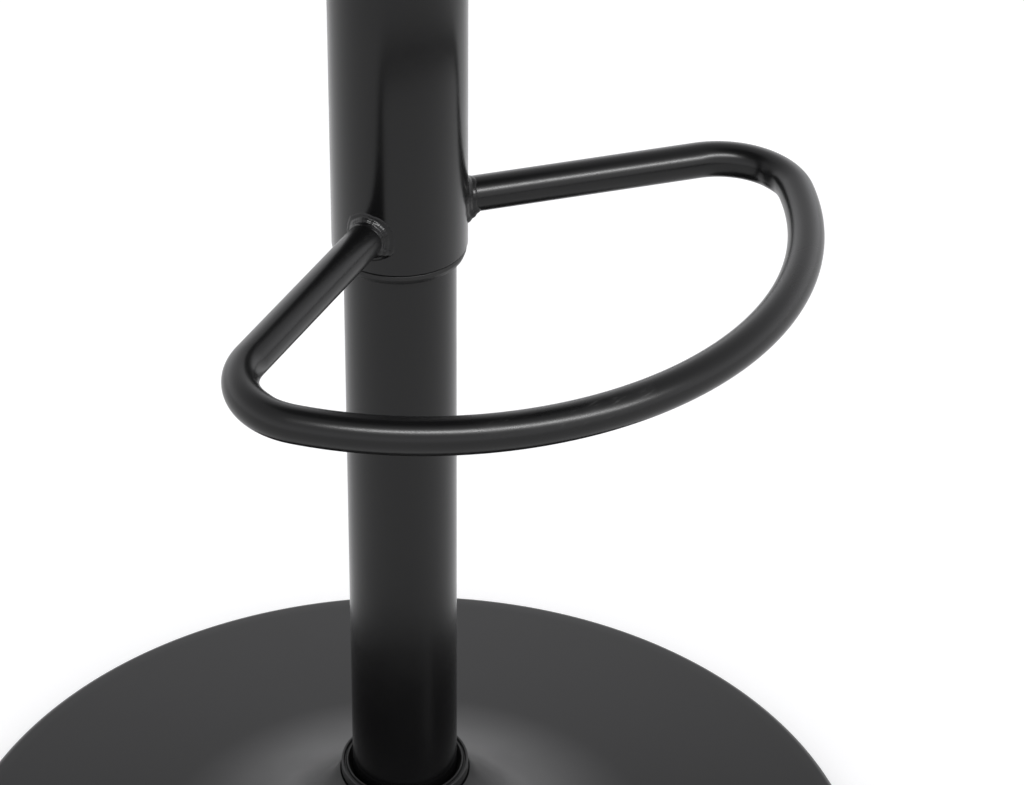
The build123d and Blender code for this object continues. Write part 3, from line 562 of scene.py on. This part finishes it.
def loop_half():
    """Right half of the centreline from the sleeve to the front: (point, share of the bend)."""
    inset = LEG_NORMAL * BEND_RADIUS - FRONT_ARC_CENTRE
    along = inset.dot(LEG)
    reach = (FRONT_ARC_RADIUS - BEND_RADIUS) ** 2
    leg_length = -along + sqrt(along**2 - inset.dot(inset) + reach)
    bend_start = LEG * leg_length
    bend_centre = bend_start + LEG_NORMAL * BEND_RADIUS
    bend_end = FRONT_ARC_CENTRE + (bend_centre - FRONT_ARC_CENTRE).normalized() * FRONT_ARC_RADIUS
    root = LEG * (SLEEVE_RADIUS - 1.2 * MM)
    points = [(root.lerp(bend_start, k / LEG_STEPS), 0.0) for k in range(LEG_STEPS)]
    bend = arc(bend_centre, bend_start - bend_centre, bend_end - bend_centre, BEND_STEPS)
    points += [(p, k / BEND_STEPS) for k, p in enumerate(bend[:-1])]
    corner, front = bend_end - FRONT_ARC_CENTRE, Vector((0, -FRONT_ARC_RADIUS))
    points += [(p, 0.0) for p in arc(FRONT_ARC_CENTRE, corner, front, FRONT_STEPS)]
    return points


def footrest():
    """Bent tube: a little oval in its bends, with the crease that bending leaves inside them."""
    half = loop_half()
    mirrored = [(Vector((-p.x, p.y)), turn) for p, turn in half[:-1]]
    points = half + mirrored[::-1]
    vertices = []
    last = len(points) - 1
    for i, (point, turn) in enumerate(points):
        share = sin(pi * turn)
        before, after = points[max(i - 1, 0)][0], points[min(i + 1, last)][0]
        direction = (after - before).normalized()
        inward = Vector((direction.y, -direction.x))
        ridge = bell(turn - CREASE_AT, CREASE_WIDTH)
        fold = bell(turn - CREASE_AT - FOLD_AFTER, FOLD_WIDTH)
        wrinkle = (0.45 * ridge - 0.40 * fold + 0.03 * sin(turn * 40) * share) * MM
        for k in range(TUBE_SIDES):
            angle = 2 * pi * k / TUBE_SIDES
            toward = max(0.0, cos(angle)) ** 2
            flat = 1 - OVALITY * share * abs(cos(angle))
            radius = TUBE_RADIUS * flat + wrinkle * toward
            place = point + inward * (radius * cos(angle))
            vertices.append((place.x, place.y, LOOP_HEIGHT + TUBE_RADIUS * sin(angle)))
    faces = grid_faces(len(points), TUBE_SIDES, close_rows=False)
    faces.append(tuple(range(TUBE_SIDES)))
    faces.append(tuple(range(last * TUBE_SIDES, (last + 1) * TUBE_SIDES))[::-1])
    obj = piece("footrest_tube", vertices, faces, MATERIALS["footrest_paint"], "seat")
    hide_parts("footrest_loop")


def weld_bead(name, side):
    """Hollow fillet weld round one leg's root: three passes, uneven, with a lump where it ended."""
    leg = Vector((side * LEG.x, LEG.y, 0))
    across = Vector((-leg.y, leg.x, 0)) * -side
    up = Vector((0, 0, 1))
    hub = Vector((0, 0, LOOP_HEIGHT))
    vertices = []
    for i in range(WELD_TURNS):
        angle = 2 * pi * i / WELD_TURNS
        radial = across * cos(angle) + up * sin(angle)
        wander = noise.noise(Vector((2.5 * cos(angle), 2.5 * sin(angle), 5.0 * side)))
        ripple = noise.noise(Vector((14 * cos(angle), 14 * sin(angle), 3.0 * side)))
        lump = bell(wrapped(angle - WELD_END), LUMP_WIDTH)
        size = 1 + 0.14 * wander + 0.05 * ripple + 0.28 * lump
        for k in range(WELD_SIDES):
            share = k / (WELD_SIDES - 1)
            bend = share * pi / 2
            away = TUBE_RADIUS - WELD_SINK + WELD_WIDTH * size * (1 - cos(bend))
            along = sqrt(SLEEVE_RADIUS**2 - (away * cos(angle)) ** 2) - WELD_SINK
            passes = abs(sin(WELD_PASSES * pi * share))
            swell = (0.24 * passes + 1.1 * lump * sin(pi * share)) * MM
            ahead = along + WELD_REACH * size * (1 - sin(bend)) + swell
            vertices.append(hub + radial * (away + swell) + leg * ahead)
        inner = TUBE_RADIUS - WELD_ROOT
        along = sqrt(SLEEVE_RADIUS**2 - (inner * cos(angle)) ** 2)
        vertices.append(hub + radial * inner + leg * (along - WELD_ROOT))
    faces = grid_faces(WELD_TURNS, WELD_SIDES + 1)
    obj = piece(name, vertices, faces, MATERIALS["footrest_paint"], "seat", sharp=50)
    return obj


def weld_beads():
    beads = [weld_bead("footrest_weld_right", 1), weld_bead("footrest_weld_left", -1)]
    for bead in beads:
        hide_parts("footrest_welds")


# --- Seat ---------------------------------------------------------------------------------------

COVER_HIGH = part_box("seat_cover")[1]
SEAT_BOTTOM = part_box("seat_cover")[0].z
BOARD_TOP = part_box("seat_board")[1].z
SEAM_RADIUS = COVER_HIGH.x - 2.2 * MM
SEAM_HEIGHT = COVER_HIGH.z - 16 * MM
CHANNEL_RADIUS = 118 * MM
VOXEL = 4.5 * MM
CROWN_DROP = 12
CROWN_POINTS = 17
FILLING_PRESSURE = 4
FILLING_CAP = 7 * MM
FILLING_FRAMES = 20
PIPING_ROWS, PIPING_SIDES = 420, 14
STITCH_RINGS, STITCH_SIDES = 7, 6
STITCH_LENGTH = 3.4 * MM
THREAD = 0.45 * MM
BACK = radians(90)
SEAM_ROWS = 60
SEAM_STITCHES = 15
SEAM_STITCH_OFFSET = 2.6 * MM
SEAM_DEPTH = 1.2 * MM
HEM_ROWS, HEM_COLUMNS = 9, 720
HEM_INNER = 166 * MM
HEM_THICKNESS = 1.2 * MM
PLEATS = 46
CLOTH_RINGS, CLOTH_COLUMNS = 60, 240
CLOTH_THICKNESS = 0.6 * MM
PLATE_EDGE = 82 * MM
STAPLE_RADIUS = 166 * MM


def solid_from_modifiers(obj):
    """Replaces the object's mesh by what its modifiers make of it, and clears them."""
    depsgraph = bpy.context.evaluated_depsgraph_get()
    mesh = bpy.data.meshes.new_from_object(obj.evaluated_get(depsgraph), depsgraph=depsgraph)
    obj.modifiers.clear()
    obj.data = mesh


def inflate(obj, hold):
    """Swells a closed skin as its filling does; hold(point) is 1 where it is sewn or tacked."""
    scene = bpy.context.scene
    group = obj.vertex_groups.new(name="held")
    start = np.array([v.co[:] for v in obj.data.vertices])
    for index, point in enumerate(start):
        weight = hold(point)
        if weight > 0:
            group.add([index], weight, "REPLACE")
    modifier = obj.modifiers.new("filling", "CLOTH")
    cloth = modifier.settings
    cloth.use_pressure = True
    cloth.uniform_pressure_force = FILLING_PRESSURE
    cloth.vertex_group_mass = "held"
    cloth.effector_weights.gravity = 0
    modifier.point_cache.frame_end = FILLING_FRAMES
    for moment in range(1, FILLING_FRAMES + 1):
        scene.frame_set(moment)
    swollen = obj.evaluated_get(bpy.context.evaluated_depsgraph_get())
    move = np.array([v.co[:] for v in swollen.data.vertices]) - start
    obj.modifiers.clear()
    scene.frame_set(1)
    length = np.linalg.norm(move, axis=1, keepdims=True)
    move *= np.minimum(1, FILLING_CAP / np.maximum(length, 1e-9))
    obj.data.vertices.foreach_set("co", (start + move).ravel())
    obj.data.update()


def cushion_outline():
    """Foam, board and cover before the filling swells, from the crown round to the hem."""
    side = SEAM_RADIUS / MM
    crown = COVER_HIGH.z / MM - 3
    outline = [Vector((0, crown)) * MM]
    for k in range(1, CROWN_POINTS):
        share = k / CROWN_POINTS
        outline.append(Vector((share * side, crown - CROWN_DROP * share**2)) * MM)
    corners = [
        (side, SEAM_HEIGHT / MM + 1, 1.5),
        (side, BOARD_TOP / MM + 8, 14),
        (COVER_HIGH.x / MM - 0.3, BOARD_TOP / MM - 2, 10),
        (COVER_HIGH.x / MM - 0.3, SEAT_BOTTOM / MM + 0.3, 2),
        (0, SEAT_BOTTOM / MM + 0.3, 0),
    ]
    return outline + rounded(corners, 4)


def held(point):
    """1 on the seams and wherever the skin lies on the board, 0 where it may swell."""
    radius = hypot(point[0], point[1])
    if point[2] < BOARD_TOP + 2 * MM:
        return 1.0
    if abs(radius - SEAM_RADIUS) < 4 * MM and abs(point[2] - SEAM_HEIGHT) < 4 * MM:
        return 1.0
    if abs(radius - CHANNEL_RADIUS) < 3 * MM and point[2] > SEAM_HEIGHT:
        return 1.0
    return 0.0


def carve(obj):
    """Presses in the sewn channel and the fine puckers that the thread draws beside each seam."""
    for vertex in obj.data.vertices:
        x, y, z = vertex.co
        radius, angle = hypot(x, y), atan2(y, x)
        if radius < 1 * MM or z < BOARD_TOP:
            continue
        around = Vector((cos(angle), sin(angle), 0))
        pucker = noise.noise(around * 34 + Vector((0, 0, radius * 12)))
        slack = noise.noise(Vector((x * 16, y * 16, z * 16)))
        if z > SEAM_HEIGHT + 1 * MM:
            off = abs(radius - CHANNEL_RADIUS)
            vertex.co.z -= 2.6 * MM * bell(off, 2.6 * MM)
            near = exp(-off / (11 * MM)) + exp(-(SEAM_RADIUS - radius) / (9 * MM))
            vertex.co.z += pucker * near * 0.75 * MM + slack * 0.6 * MM
        else:
            near = exp(-(SEAM_HEIGHT - z) / (9 * MM)) + exp(-(z - BOARD_TOP) / (12 * MM))
            vertex.co += around * (pucker * near * 0.8 * MM + slack * 0.5 * MM)


def seat_cushion():
    """Upholstered cushion: two-panel crowned top, boxing, and a skin drawn over the board."""
    obj = lathe("seat_cushion", cushion_outline(), MATERIALS["faux_leather"], "seat", 128)
    remesh = obj.modifiers.new("remesh", "REMESH")
    remesh.mode = "VOXEL"
    remesh.voxel_size = VOXEL
    solid_from_modifiers(obj)
    inflate(obj, held)
    smooth = obj.modifiers.new("smooth", "SUBSURF")
    smooth.levels = smooth.render_levels = 1
    solid_from_modifiers(obj)
    carve(obj)
    obj.data.polygons.foreach_set("use_smooth", [True] * len(obj.data.polygons))
    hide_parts("seat_cover", "seat_foam")
    return obj


def skin_of(obj):
    return BVHTree.FromPolygons(
        [v.co for v in obj.data.vertices], [p.vertices[:] for p in obj.data.polygons]
    )


def from_side(skin, angle, height):
    """Point and normal where the cushion's side is met at that angle and height."""
    out = Vector((cos(angle), sin(angle), 0))
    point, normal, _, _ = skin.ray_cast(out * 0.3 + Vector((0, 0, height)), -out)
    return point, normal


def from_above(skin, angle, radius):
    start = Vector((radius * cos(angle), radius * sin(angle), COVER_HIGH.z + 0.1))
    point, normal, _, _ = skin.ray_cast(start, Vector((0, 0, -1)))
    return point, normal


def cord_ring(name, skin, height, thickness, joint):
    """Piping round the seat, following the skin, with its ends lapped at the joint's angle."""
    vertices = []
    for i in range(PIPING_ROWS):
        angle = 2 * pi * i / PIPING_ROWS
        point, _ = from_side(skin, angle, height)
        reach = hypot(point.x, point.y) + thickness * 0.45
        gap = abs(wrapped(angle - joint)) * reach
        wave = noise.noise(Vector((cos(angle), sin(angle), height)) * 24)
        size = thickness * (1 + 0.05 * wave + 0.16 * bell(gap, 5 * MM))
        size -= thickness * 0.35 * bell(gap, 0.8 * MM)
        out = Vector((cos(angle), sin(angle), 0))
        centre = out * reach + Vector((0, 0, height + 0.3 * MM * wave))
        for k in range(PIPING_SIDES):
            turn = 2 * pi * k / PIPING_SIDES
            vertices.append(centre + out * size * cos(turn) + Vector((0, 0, size * sin(turn))))
    faces = grid_faces(PIPING_ROWS, PIPING_SIDES)
    obj = piece(name, vertices, faces, MATERIALS["faux_leather"], "seat", sharp=80)
    return obj


def stitch_row(name, places, thickness=THREAD):
    """One short sunk stitch at each (point, normal, direction)."""
    vertices, faces = [], []
    for point, normal, direction in places:
        across = normal.cross(direction).normalized()
        first = len(vertices)
        for r in range(STITCH_RINGS):
            share = r / (STITCH_RINGS - 1)
            size = thickness * (0.35 + 0.65 * sin(pi * share))
            lift = thickness * (0.9 * sin(pi * share) - 0.5)
            centre = point + direction * ((share - 0.5) * STITCH_LENGTH) + normal * lift
            for k in range(STITCH_SIDES):
                turn = 2 * pi * k / STITCH_SIDES
                vertices.append(centre + across * size * cos(turn) + normal * size * sin(turn))
        for row in grid_faces(STITCH_RINGS, STITCH_SIDES, close_rows=False):
            faces.append([first + index for index in row])
        end = first + (STITCH_RINGS - 1) * STITCH_SIDES
        faces.append([first + k for k in range(STITCH_SIDES)])
        faces.append([end + k for k in range(STITCH_SIDES)][::-1])
    obj = piece(name, vertices, faces, MATERIALS["thread"], "seat", sharp=80)
    return obj


def laid_on(direction, normal):
    """The direction turned flat onto the surface with that normal."""
    return (direction - normal * direction.dot(normal)).normalized()


def around_seat(skin, find, count, at):
    """Evenly spaced (point, normal, direction) round the seat; find is from_side or from_above."""
    places = []
    for k in range(count):
        angle = 2 * pi * k / count
        point, normal = find(skin, angle, at)
        direction = Vector((-sin(angle), cos(angle), 0))
        places.append((point, normal, laid_on(direction, normal)))
    return places


def seat_seams(skin):
    """Piping, thread and the closing seam at the back of the boxing."""
    top_height = SEAM_HEIGHT - 1.5 * MM
    top = cord_ring("seat_piping_top", skin, top_height, 2.5 * MM, BACK)
    bottom_height = SEAT_BOTTOM + 2.3 * MM
    bottom = cord_ring("seat_piping_bottom", skin, bottom_height, 2.2 * MM, BACK + 0.02)
    for ring in (top, bottom):
        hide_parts("seat_welts")
    channel = around_seat(skin, from_above, 165, CHANNEL_RADIUS)
    stitch_row("seat_channel_stitches", channel)
    boxing = around_seat(skin, from_side, 250, SEAM_HEIGHT - 7 * MM)
    stitch_row("seat_boxing_stitches", boxing)
    back_seam(skin)


def back_seam(skin):
    """Where the boxing's ends meet: two turned folds side by side, with a stitch row each."""
    low, high = SEAT_BOTTOM + 4.5 * MM, SEAM_HEIGHT - 2.5 * MM
    profile = [(-4.5, -0.3), (-3.6, 0.3), (-2.2, 0.75), (-0.9, 0.8), (-0.25, 0.45), (0, -0.5)]
    profile += [(-x, y) for x, y in profile[-2::-1]]
    vertices, stitches = [], []
    for i in range(SEAM_ROWS):
        height = low + (high - low) * i / (SEAM_ROWS - 1)
        for x, y in profile:
            point, normal = from_side(skin, BACK + x * MM / SEAM_RADIUS, height)
            vertices.append(point + normal * (y * MM))
    for i in range(SEAM_STITCHES):
        height = low + (high - low) * (i + 0.5) / SEAM_STITCHES
        for side in (-1, 1):
            angle = BACK + side * SEAM_STITCH_OFFSET / SEAM_RADIUS
            point, normal = from_side(skin, angle, height)
            up = laid_on(Vector((0, 0, 1)), normal)
            stitches.append((point + normal * 0.75 * MM, normal, up))
    count = len(profile)
    under = [v - Vector((0, SEAM_DEPTH, 0)) for v in vertices]
    faces = grid_faces(SEAM_ROWS, count, close_rows=False, close_columns=False)
    total = len(vertices)
    back = [tuple(total + k for k in face[::-1]) for face in faces]
    edge = []
    for i in range(SEAM_ROWS - 1):
        a, b = i * count, (i + 1) * count
        edge.append((b, a, total + a, total + b))
        edge.append((a + count - 1, b + count - 1, total + b + count - 1, total + a + count - 1))
    for row in (0, (SEAM_ROWS - 1) * count):
        for k in range(count - 1):
            edge.append((row + k, row + k + 1, total + row + k + 1, total + row + k))
    vertices, faces = vertices + under, faces + back + edge
    obj = piece("seat_back_seam", vertices, faces, MATERIALS["faux_leather"], "seat", sharp=60)
    stitch_row("seat_back_stitches", stitches, thickness=0.4 * MM)


def seat_hem():
    """Pleated allowance of the cover, drawn in under the board outside the dust cloth."""
    rows, columns = HEM_ROWS, HEM_COLUMNS
    vertices = []
    outer = COVER_HIGH.x - 0.8 * MM
    for side in (0, 1):
        for i in range(rows):
            share = i / (rows - 1)
            radius = HEM_INNER + (outer - HEM_INNER) * share
            for k in range(columns):
                angle = 2 * pi * k / columns
                uneven = noise.noise(Vector((cos(angle) * 9, sin(angle) * 9, 1)))
                pleat = (angle / (2 * pi) * PLEATS + 0.25 * uneven) % 1
                fold = 1.1 * MM * (1 - pleat) ** 2 * (1 - share) ** 0.6 * min(1, (1 - share) * 3)
                height = SEAT_BOTTOM + 0.1 * MM + side * HEM_THICKNESS
                if side == 0:
                    height -= fold * 0.55
                turn = angle + 0.004 * sin(2 * pi * pleat) * (1 - share)
                vertices.append((radius * cos(turn), radius * sin(turn), height))
    size = rows * columns
    faces = grid_faces(rows, columns, close_rows=False)
    upper = [tuple(size + v for v in face[::-1]) for face in faces]
    rims = []
    for row in (0, rows - 1):
        for k in range(columns):
            a, b = row * columns + k, row * columns + (k + 1) % columns
            rims.append((a, b, size + b, size + a))
    faces = faces + upper + rims
    obj = piece("seat_hem", vertices, faces, MATERIALS["faux_leather"], "seat", sharp=50)


def dust_cloth():
    """Cloth disc over the underside, slack between its staples and the seat plate."""
    low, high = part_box("dust_cover")
    radius = high.x
    rings, columns = CLOTH_RINGS, CLOTH_COLUMNS
    vertices = []
    for side in (0, 1):
        for i in range(rings):
            share = (i + 1) / rings
            for k in range(columns):
                angle = 2 * pi * k / columns
                x, y = share * radius * cos(angle), share * radius * sin(angle)
                free = ramp(max(abs(x), abs(y)), PLATE_EDGE, PLATE_EDGE + 20 * MM)
                free *= ramp(-share * radius, -STAPLE_RADIUS, -STAPLE_RADIUS + 10 * MM)
                wave = noise.noise(Vector((x * 22, y * 22, 3)))
                wave += 0.5 * noise.noise(Vector((x * 60, y * 60, 7)))
                sag = free * (0.9 + 0.9 * wave) * MM
                if share == 1:
                    frayed = 1 + 0.002 * cos(angle * 120)
                    x, y = x * frayed, y * frayed
                vertices.append((x, y, low.z + side * CLOTH_THICKNESS - sag))
        vertices.append((0, 0, low.z + side * CLOTH_THICKNESS))
    size = rings * columns + 1
    faces = []
    for side in (0, 1):
        shift = side * size
        for face in grid_faces(rings, columns, close_rows=False):
            faces.append([v + shift for v in face])
        for k in range(columns):
            faces.append([size - 1 + shift, shift + k, shift + (k + 1) % columns])
    for k in range(columns):
        a, b = (rings - 1) * columns + k, (rings - 1) * columns + (k + 1) % columns
        faces.append([a, b, size + b, size + a])
    obj = piece("dust_cloth", vertices, faces, MATERIALS["dust_cloth"], "seat", sharp=60)
    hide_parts("dust_cover")


# Radii and lengths of the grip in millimetres, and the lever's fall towards its end.
LEVER_FALL = radians(12)
GRIP_HALF_LENGTH = 29
GRIP_BORE = 4.05
GRIP_END_WALL = 4.2
RIB_COUNT, RIB_PITCH, RIB_START = 6, 5, 11
RIB_RADIUS, RIB_ROOT_RADIUS = 7.2, 6.3


def lever_grip():
    """Ribbed moulded grip, turned about the lever's outer run."""
    low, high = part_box("lever_grip")
    axis = Vector((-cos(LEVER_FALL), 0, -sin(LEVER_FALL)))
    centre = (low + high) / 2
    half = GRIP_HALF_LENGTH
    corners = [(GRIP_BORE, -half, 0), (6.2, -half, 1.2), (6.9, -half + 9, 0.6)]
    for k in range(RIB_COUNT):
        start = -half + RIB_START + RIB_PITCH * k
        corners += [
            (RIB_RADIUS, start, 0.5),
            (RIB_ROOT_RADIUS, start + 0.8, 0.4),
            (RIB_ROOT_RADIUS, start + 1.8, 0.4),
            (RIB_RADIUS, start + 2.6, 0.5),
        ]
    corners += [(7.5, half - 7, 3), (7.3, half, 4.5), (0, half, 0)]
    corners += [(0, half - GRIP_END_WALL, 0), (GRIP_BORE, half - GRIP_END_WALL, 0)]
    outline = rounded(corners, 4)
    across = Vector((0, 1, 0))
    up = axis.cross(across)
    segments = 96
    vertices = []
    for k in range(segments):
        angle = 2 * pi * k / segments
        radial = across * cos(angle) + up * sin(angle)
        vertices += [centre + axis * p.y + radial * p.x for p in outline]
    faces = grid_faces(segments, len(outline))
    obj = piece("lever_grip_moulding", vertices, faces, MATERIALS["black_plastic"], "lever")
    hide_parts("lever_grip")


def soften_edges():
    """Small rounded edges on the pressed and turned CAD parts."""
    for name, width in (("seat_plate", 0.5), ("lever_bracket", 0.5), ("seat_bolts", 0.3)):
        bevel = frame["nodes"][name].modifiers.new("edge", "BEVEL")
        bevel.width = width * MM
        bevel.segments = 2
        bevel.limit_method = "ANGLE"
        bevel.angle_limit = radians(50)


# --- Floor, light and camera --------------------------------------------------------------------


# Heights of the sky direction above the horizon, as sines, and the share of the light there.
SKY = [(0.0, 1.0), (0.30, 0.95), (0.50, 0.64), (0.66, 0.52), (0.95, 0.33)]
SKY_STRENGTH = 1.65
FLOOR_HALF = 30
FLOOR_ALBEDO = 0.78
FLOOR_GLOW = 0.38


def stage():
    """White floor in a soft grey studio world, with one long softbox high in front."""
    view = bpy.context.scene.view_settings
    view.view_transform = "Standard"
    view.look = "None"
    ground = white_floor()
    studio_sky()
    softbox = soft_light(
        "front_softbox",
        azimuth=-105,
        elevation=50,
        distance=3.2,
        size=(4.2, 0.3),
        power=175,
        roll=-24,
    )
    kept_off_floor(softbox, ground)


def white_floor():
    """Floor with a little light of its own, so that it comes out as white as the background."""
    half = FLOOR_HALF
    floor = bpy.data.meshes.new("floor")
    floor.from_pydata(
        [(-half, -half, 0), (half, -half, 0), (half, half, 0), (-half, half, 0)],
        [],
        [(0, 1, 2, 3)],
    )
    pale = Surface("floor_white", (FLOOR_ALBEDO,) * 3, 0.9, Specular_IOR_Level=0.0)
    pale.shader.inputs["Emission Color"].default_value = (1, 1, 1, 1)
    pale.shader.inputs["Emission Strength"].default_value = FLOOR_GLOW
    floor.materials.append(pale.material)
    ground = bpy.data.objects.new("floor", floor)
    bpy.context.scene.collection.objects.link(ground)
    return ground


def studio_sky():
    """World light that fades from the horizon to the zenith as SKY says."""
    world = bpy.data.worlds.new("studio")
    bpy.context.scene.world = world
    world.use_nodes = True
    tree = world.node_tree
    background = tree.nodes["Background"]
    place = tree.nodes.new("ShaderNodeTexCoord")
    split = tree.nodes.new("ShaderNodeSeparateXYZ")
    fade = tree.nodes.new("ShaderNodeValToRGB")
    tree.links.new(place.outputs["Generated"], split.inputs["Vector"])
    tree.links.new(split.outputs["Z"], fade.inputs["Fac"])
    tree.links.new(fade.outputs["Color"], background.inputs["Color"])
    sky = fade.color_ramp
    sky.elements[0].position = SKY[0][0]
    sky.elements[1].position = SKY[-1][0]
    for height, _ in SKY[1:-1]:
        sky.elements.new(height)
    for stop, (_, level) in zip(sky.elements, SKY):
        stop.color = (level, level, level * 1.02, 1)
    background.inputs["Strength"].default_value = SKY_STRENGTH


def soft_light(name, azimuth, elevation, distance, size, power, roll):
    """An area light aimed at the footrest. Azimuth -90 is straight in front of the stool."""
    light = bpy.data.lights.new(name, "AREA")
    light.shape = "RECTANGLE"
    light.size, light.size_y = size
    light.energy = power
    a, e = radians(azimuth), radians(elevation)
    away = Vector((cos(a) * cos(e), sin(a) * cos(e), sin(e)))
    obj = bpy.data.objects.new(name, light)
    obj.location = Vector((0, 0, LOOP_HEIGHT)) + away * distance
    aim = away.to_track_quat("Z", "Y").to_matrix() @ Matrix.Rotation(radians(roll), 3, "Z")
    obj.rotation_euler = aim.to_euler()
    obj.visible_camera = False
    bpy.context.scene.collection.objects.link(obj)
    return obj


def kept_off_floor(light, ground):
    """Flags the floor off for a light, so that the seat throws no shadow into the background."""
    spared = bpy.data.collections.new("spared_by_" + light.name)
    spared.objects.link(ground)
    spared.collection_objects[0].light_linking.link_state = "EXCLUDE"
    light.light_linking.receiver_collection = spared


def camera():
    """Long lens from the front left and above, looking down on the footrest."""
    azimuth = radians(-129.215)
    distance, height = 1.4614, 1.27385
    pan, tilt, roll = radians(1.956), radians(33.85), radians(0.524)
    sensor_width, lens = 36, 137.25
    forward = Vector((sin(pan) * cos(tilt), cos(pan) * cos(tilt), -sin(tilt)))
    right = Vector((cos(pan), -sin(pan), 0))
    up = right.cross(forward)
    rolled_right = right * cos(roll) + up * sin(roll)
    rolled_up = up * cos(roll) - right * sin(roll)
    turn = Matrix.Rotation(azimuth + pi / 2, 4, "Z")
    axes = Matrix((rolled_right, rolled_up, -forward)).transposed().to_4x4()
    data = bpy.data.cameras.new("camera")
    data.sensor_width, data.lens = sensor_width, lens
    data.clip_start, data.clip_end = 0.05, 200
    obj = bpy.data.objects.new("camera", data)
    place = Matrix.Translation((distance * cos(azimuth), distance * sin(azimuth), height))
    obj.matrix_world = place @ turn @ axes
    bpy.context.scene.collection.objects.link(obj)
    bpy.context.scene.camera = obj


# --- Build --------------------------------------------------------------------------------------

paint_cad_nodes()
base_shell()
column()
neck_collar()
sleeve()
sleeve_guide_ring()
floor_ring()
footrest()
weld_beads()
cushion = seat_cushion()
seat_seams(skin_of(cushion))
seat_hem()
dust_cloth()
lever_grip()
soften_edges()
stage()
camera()
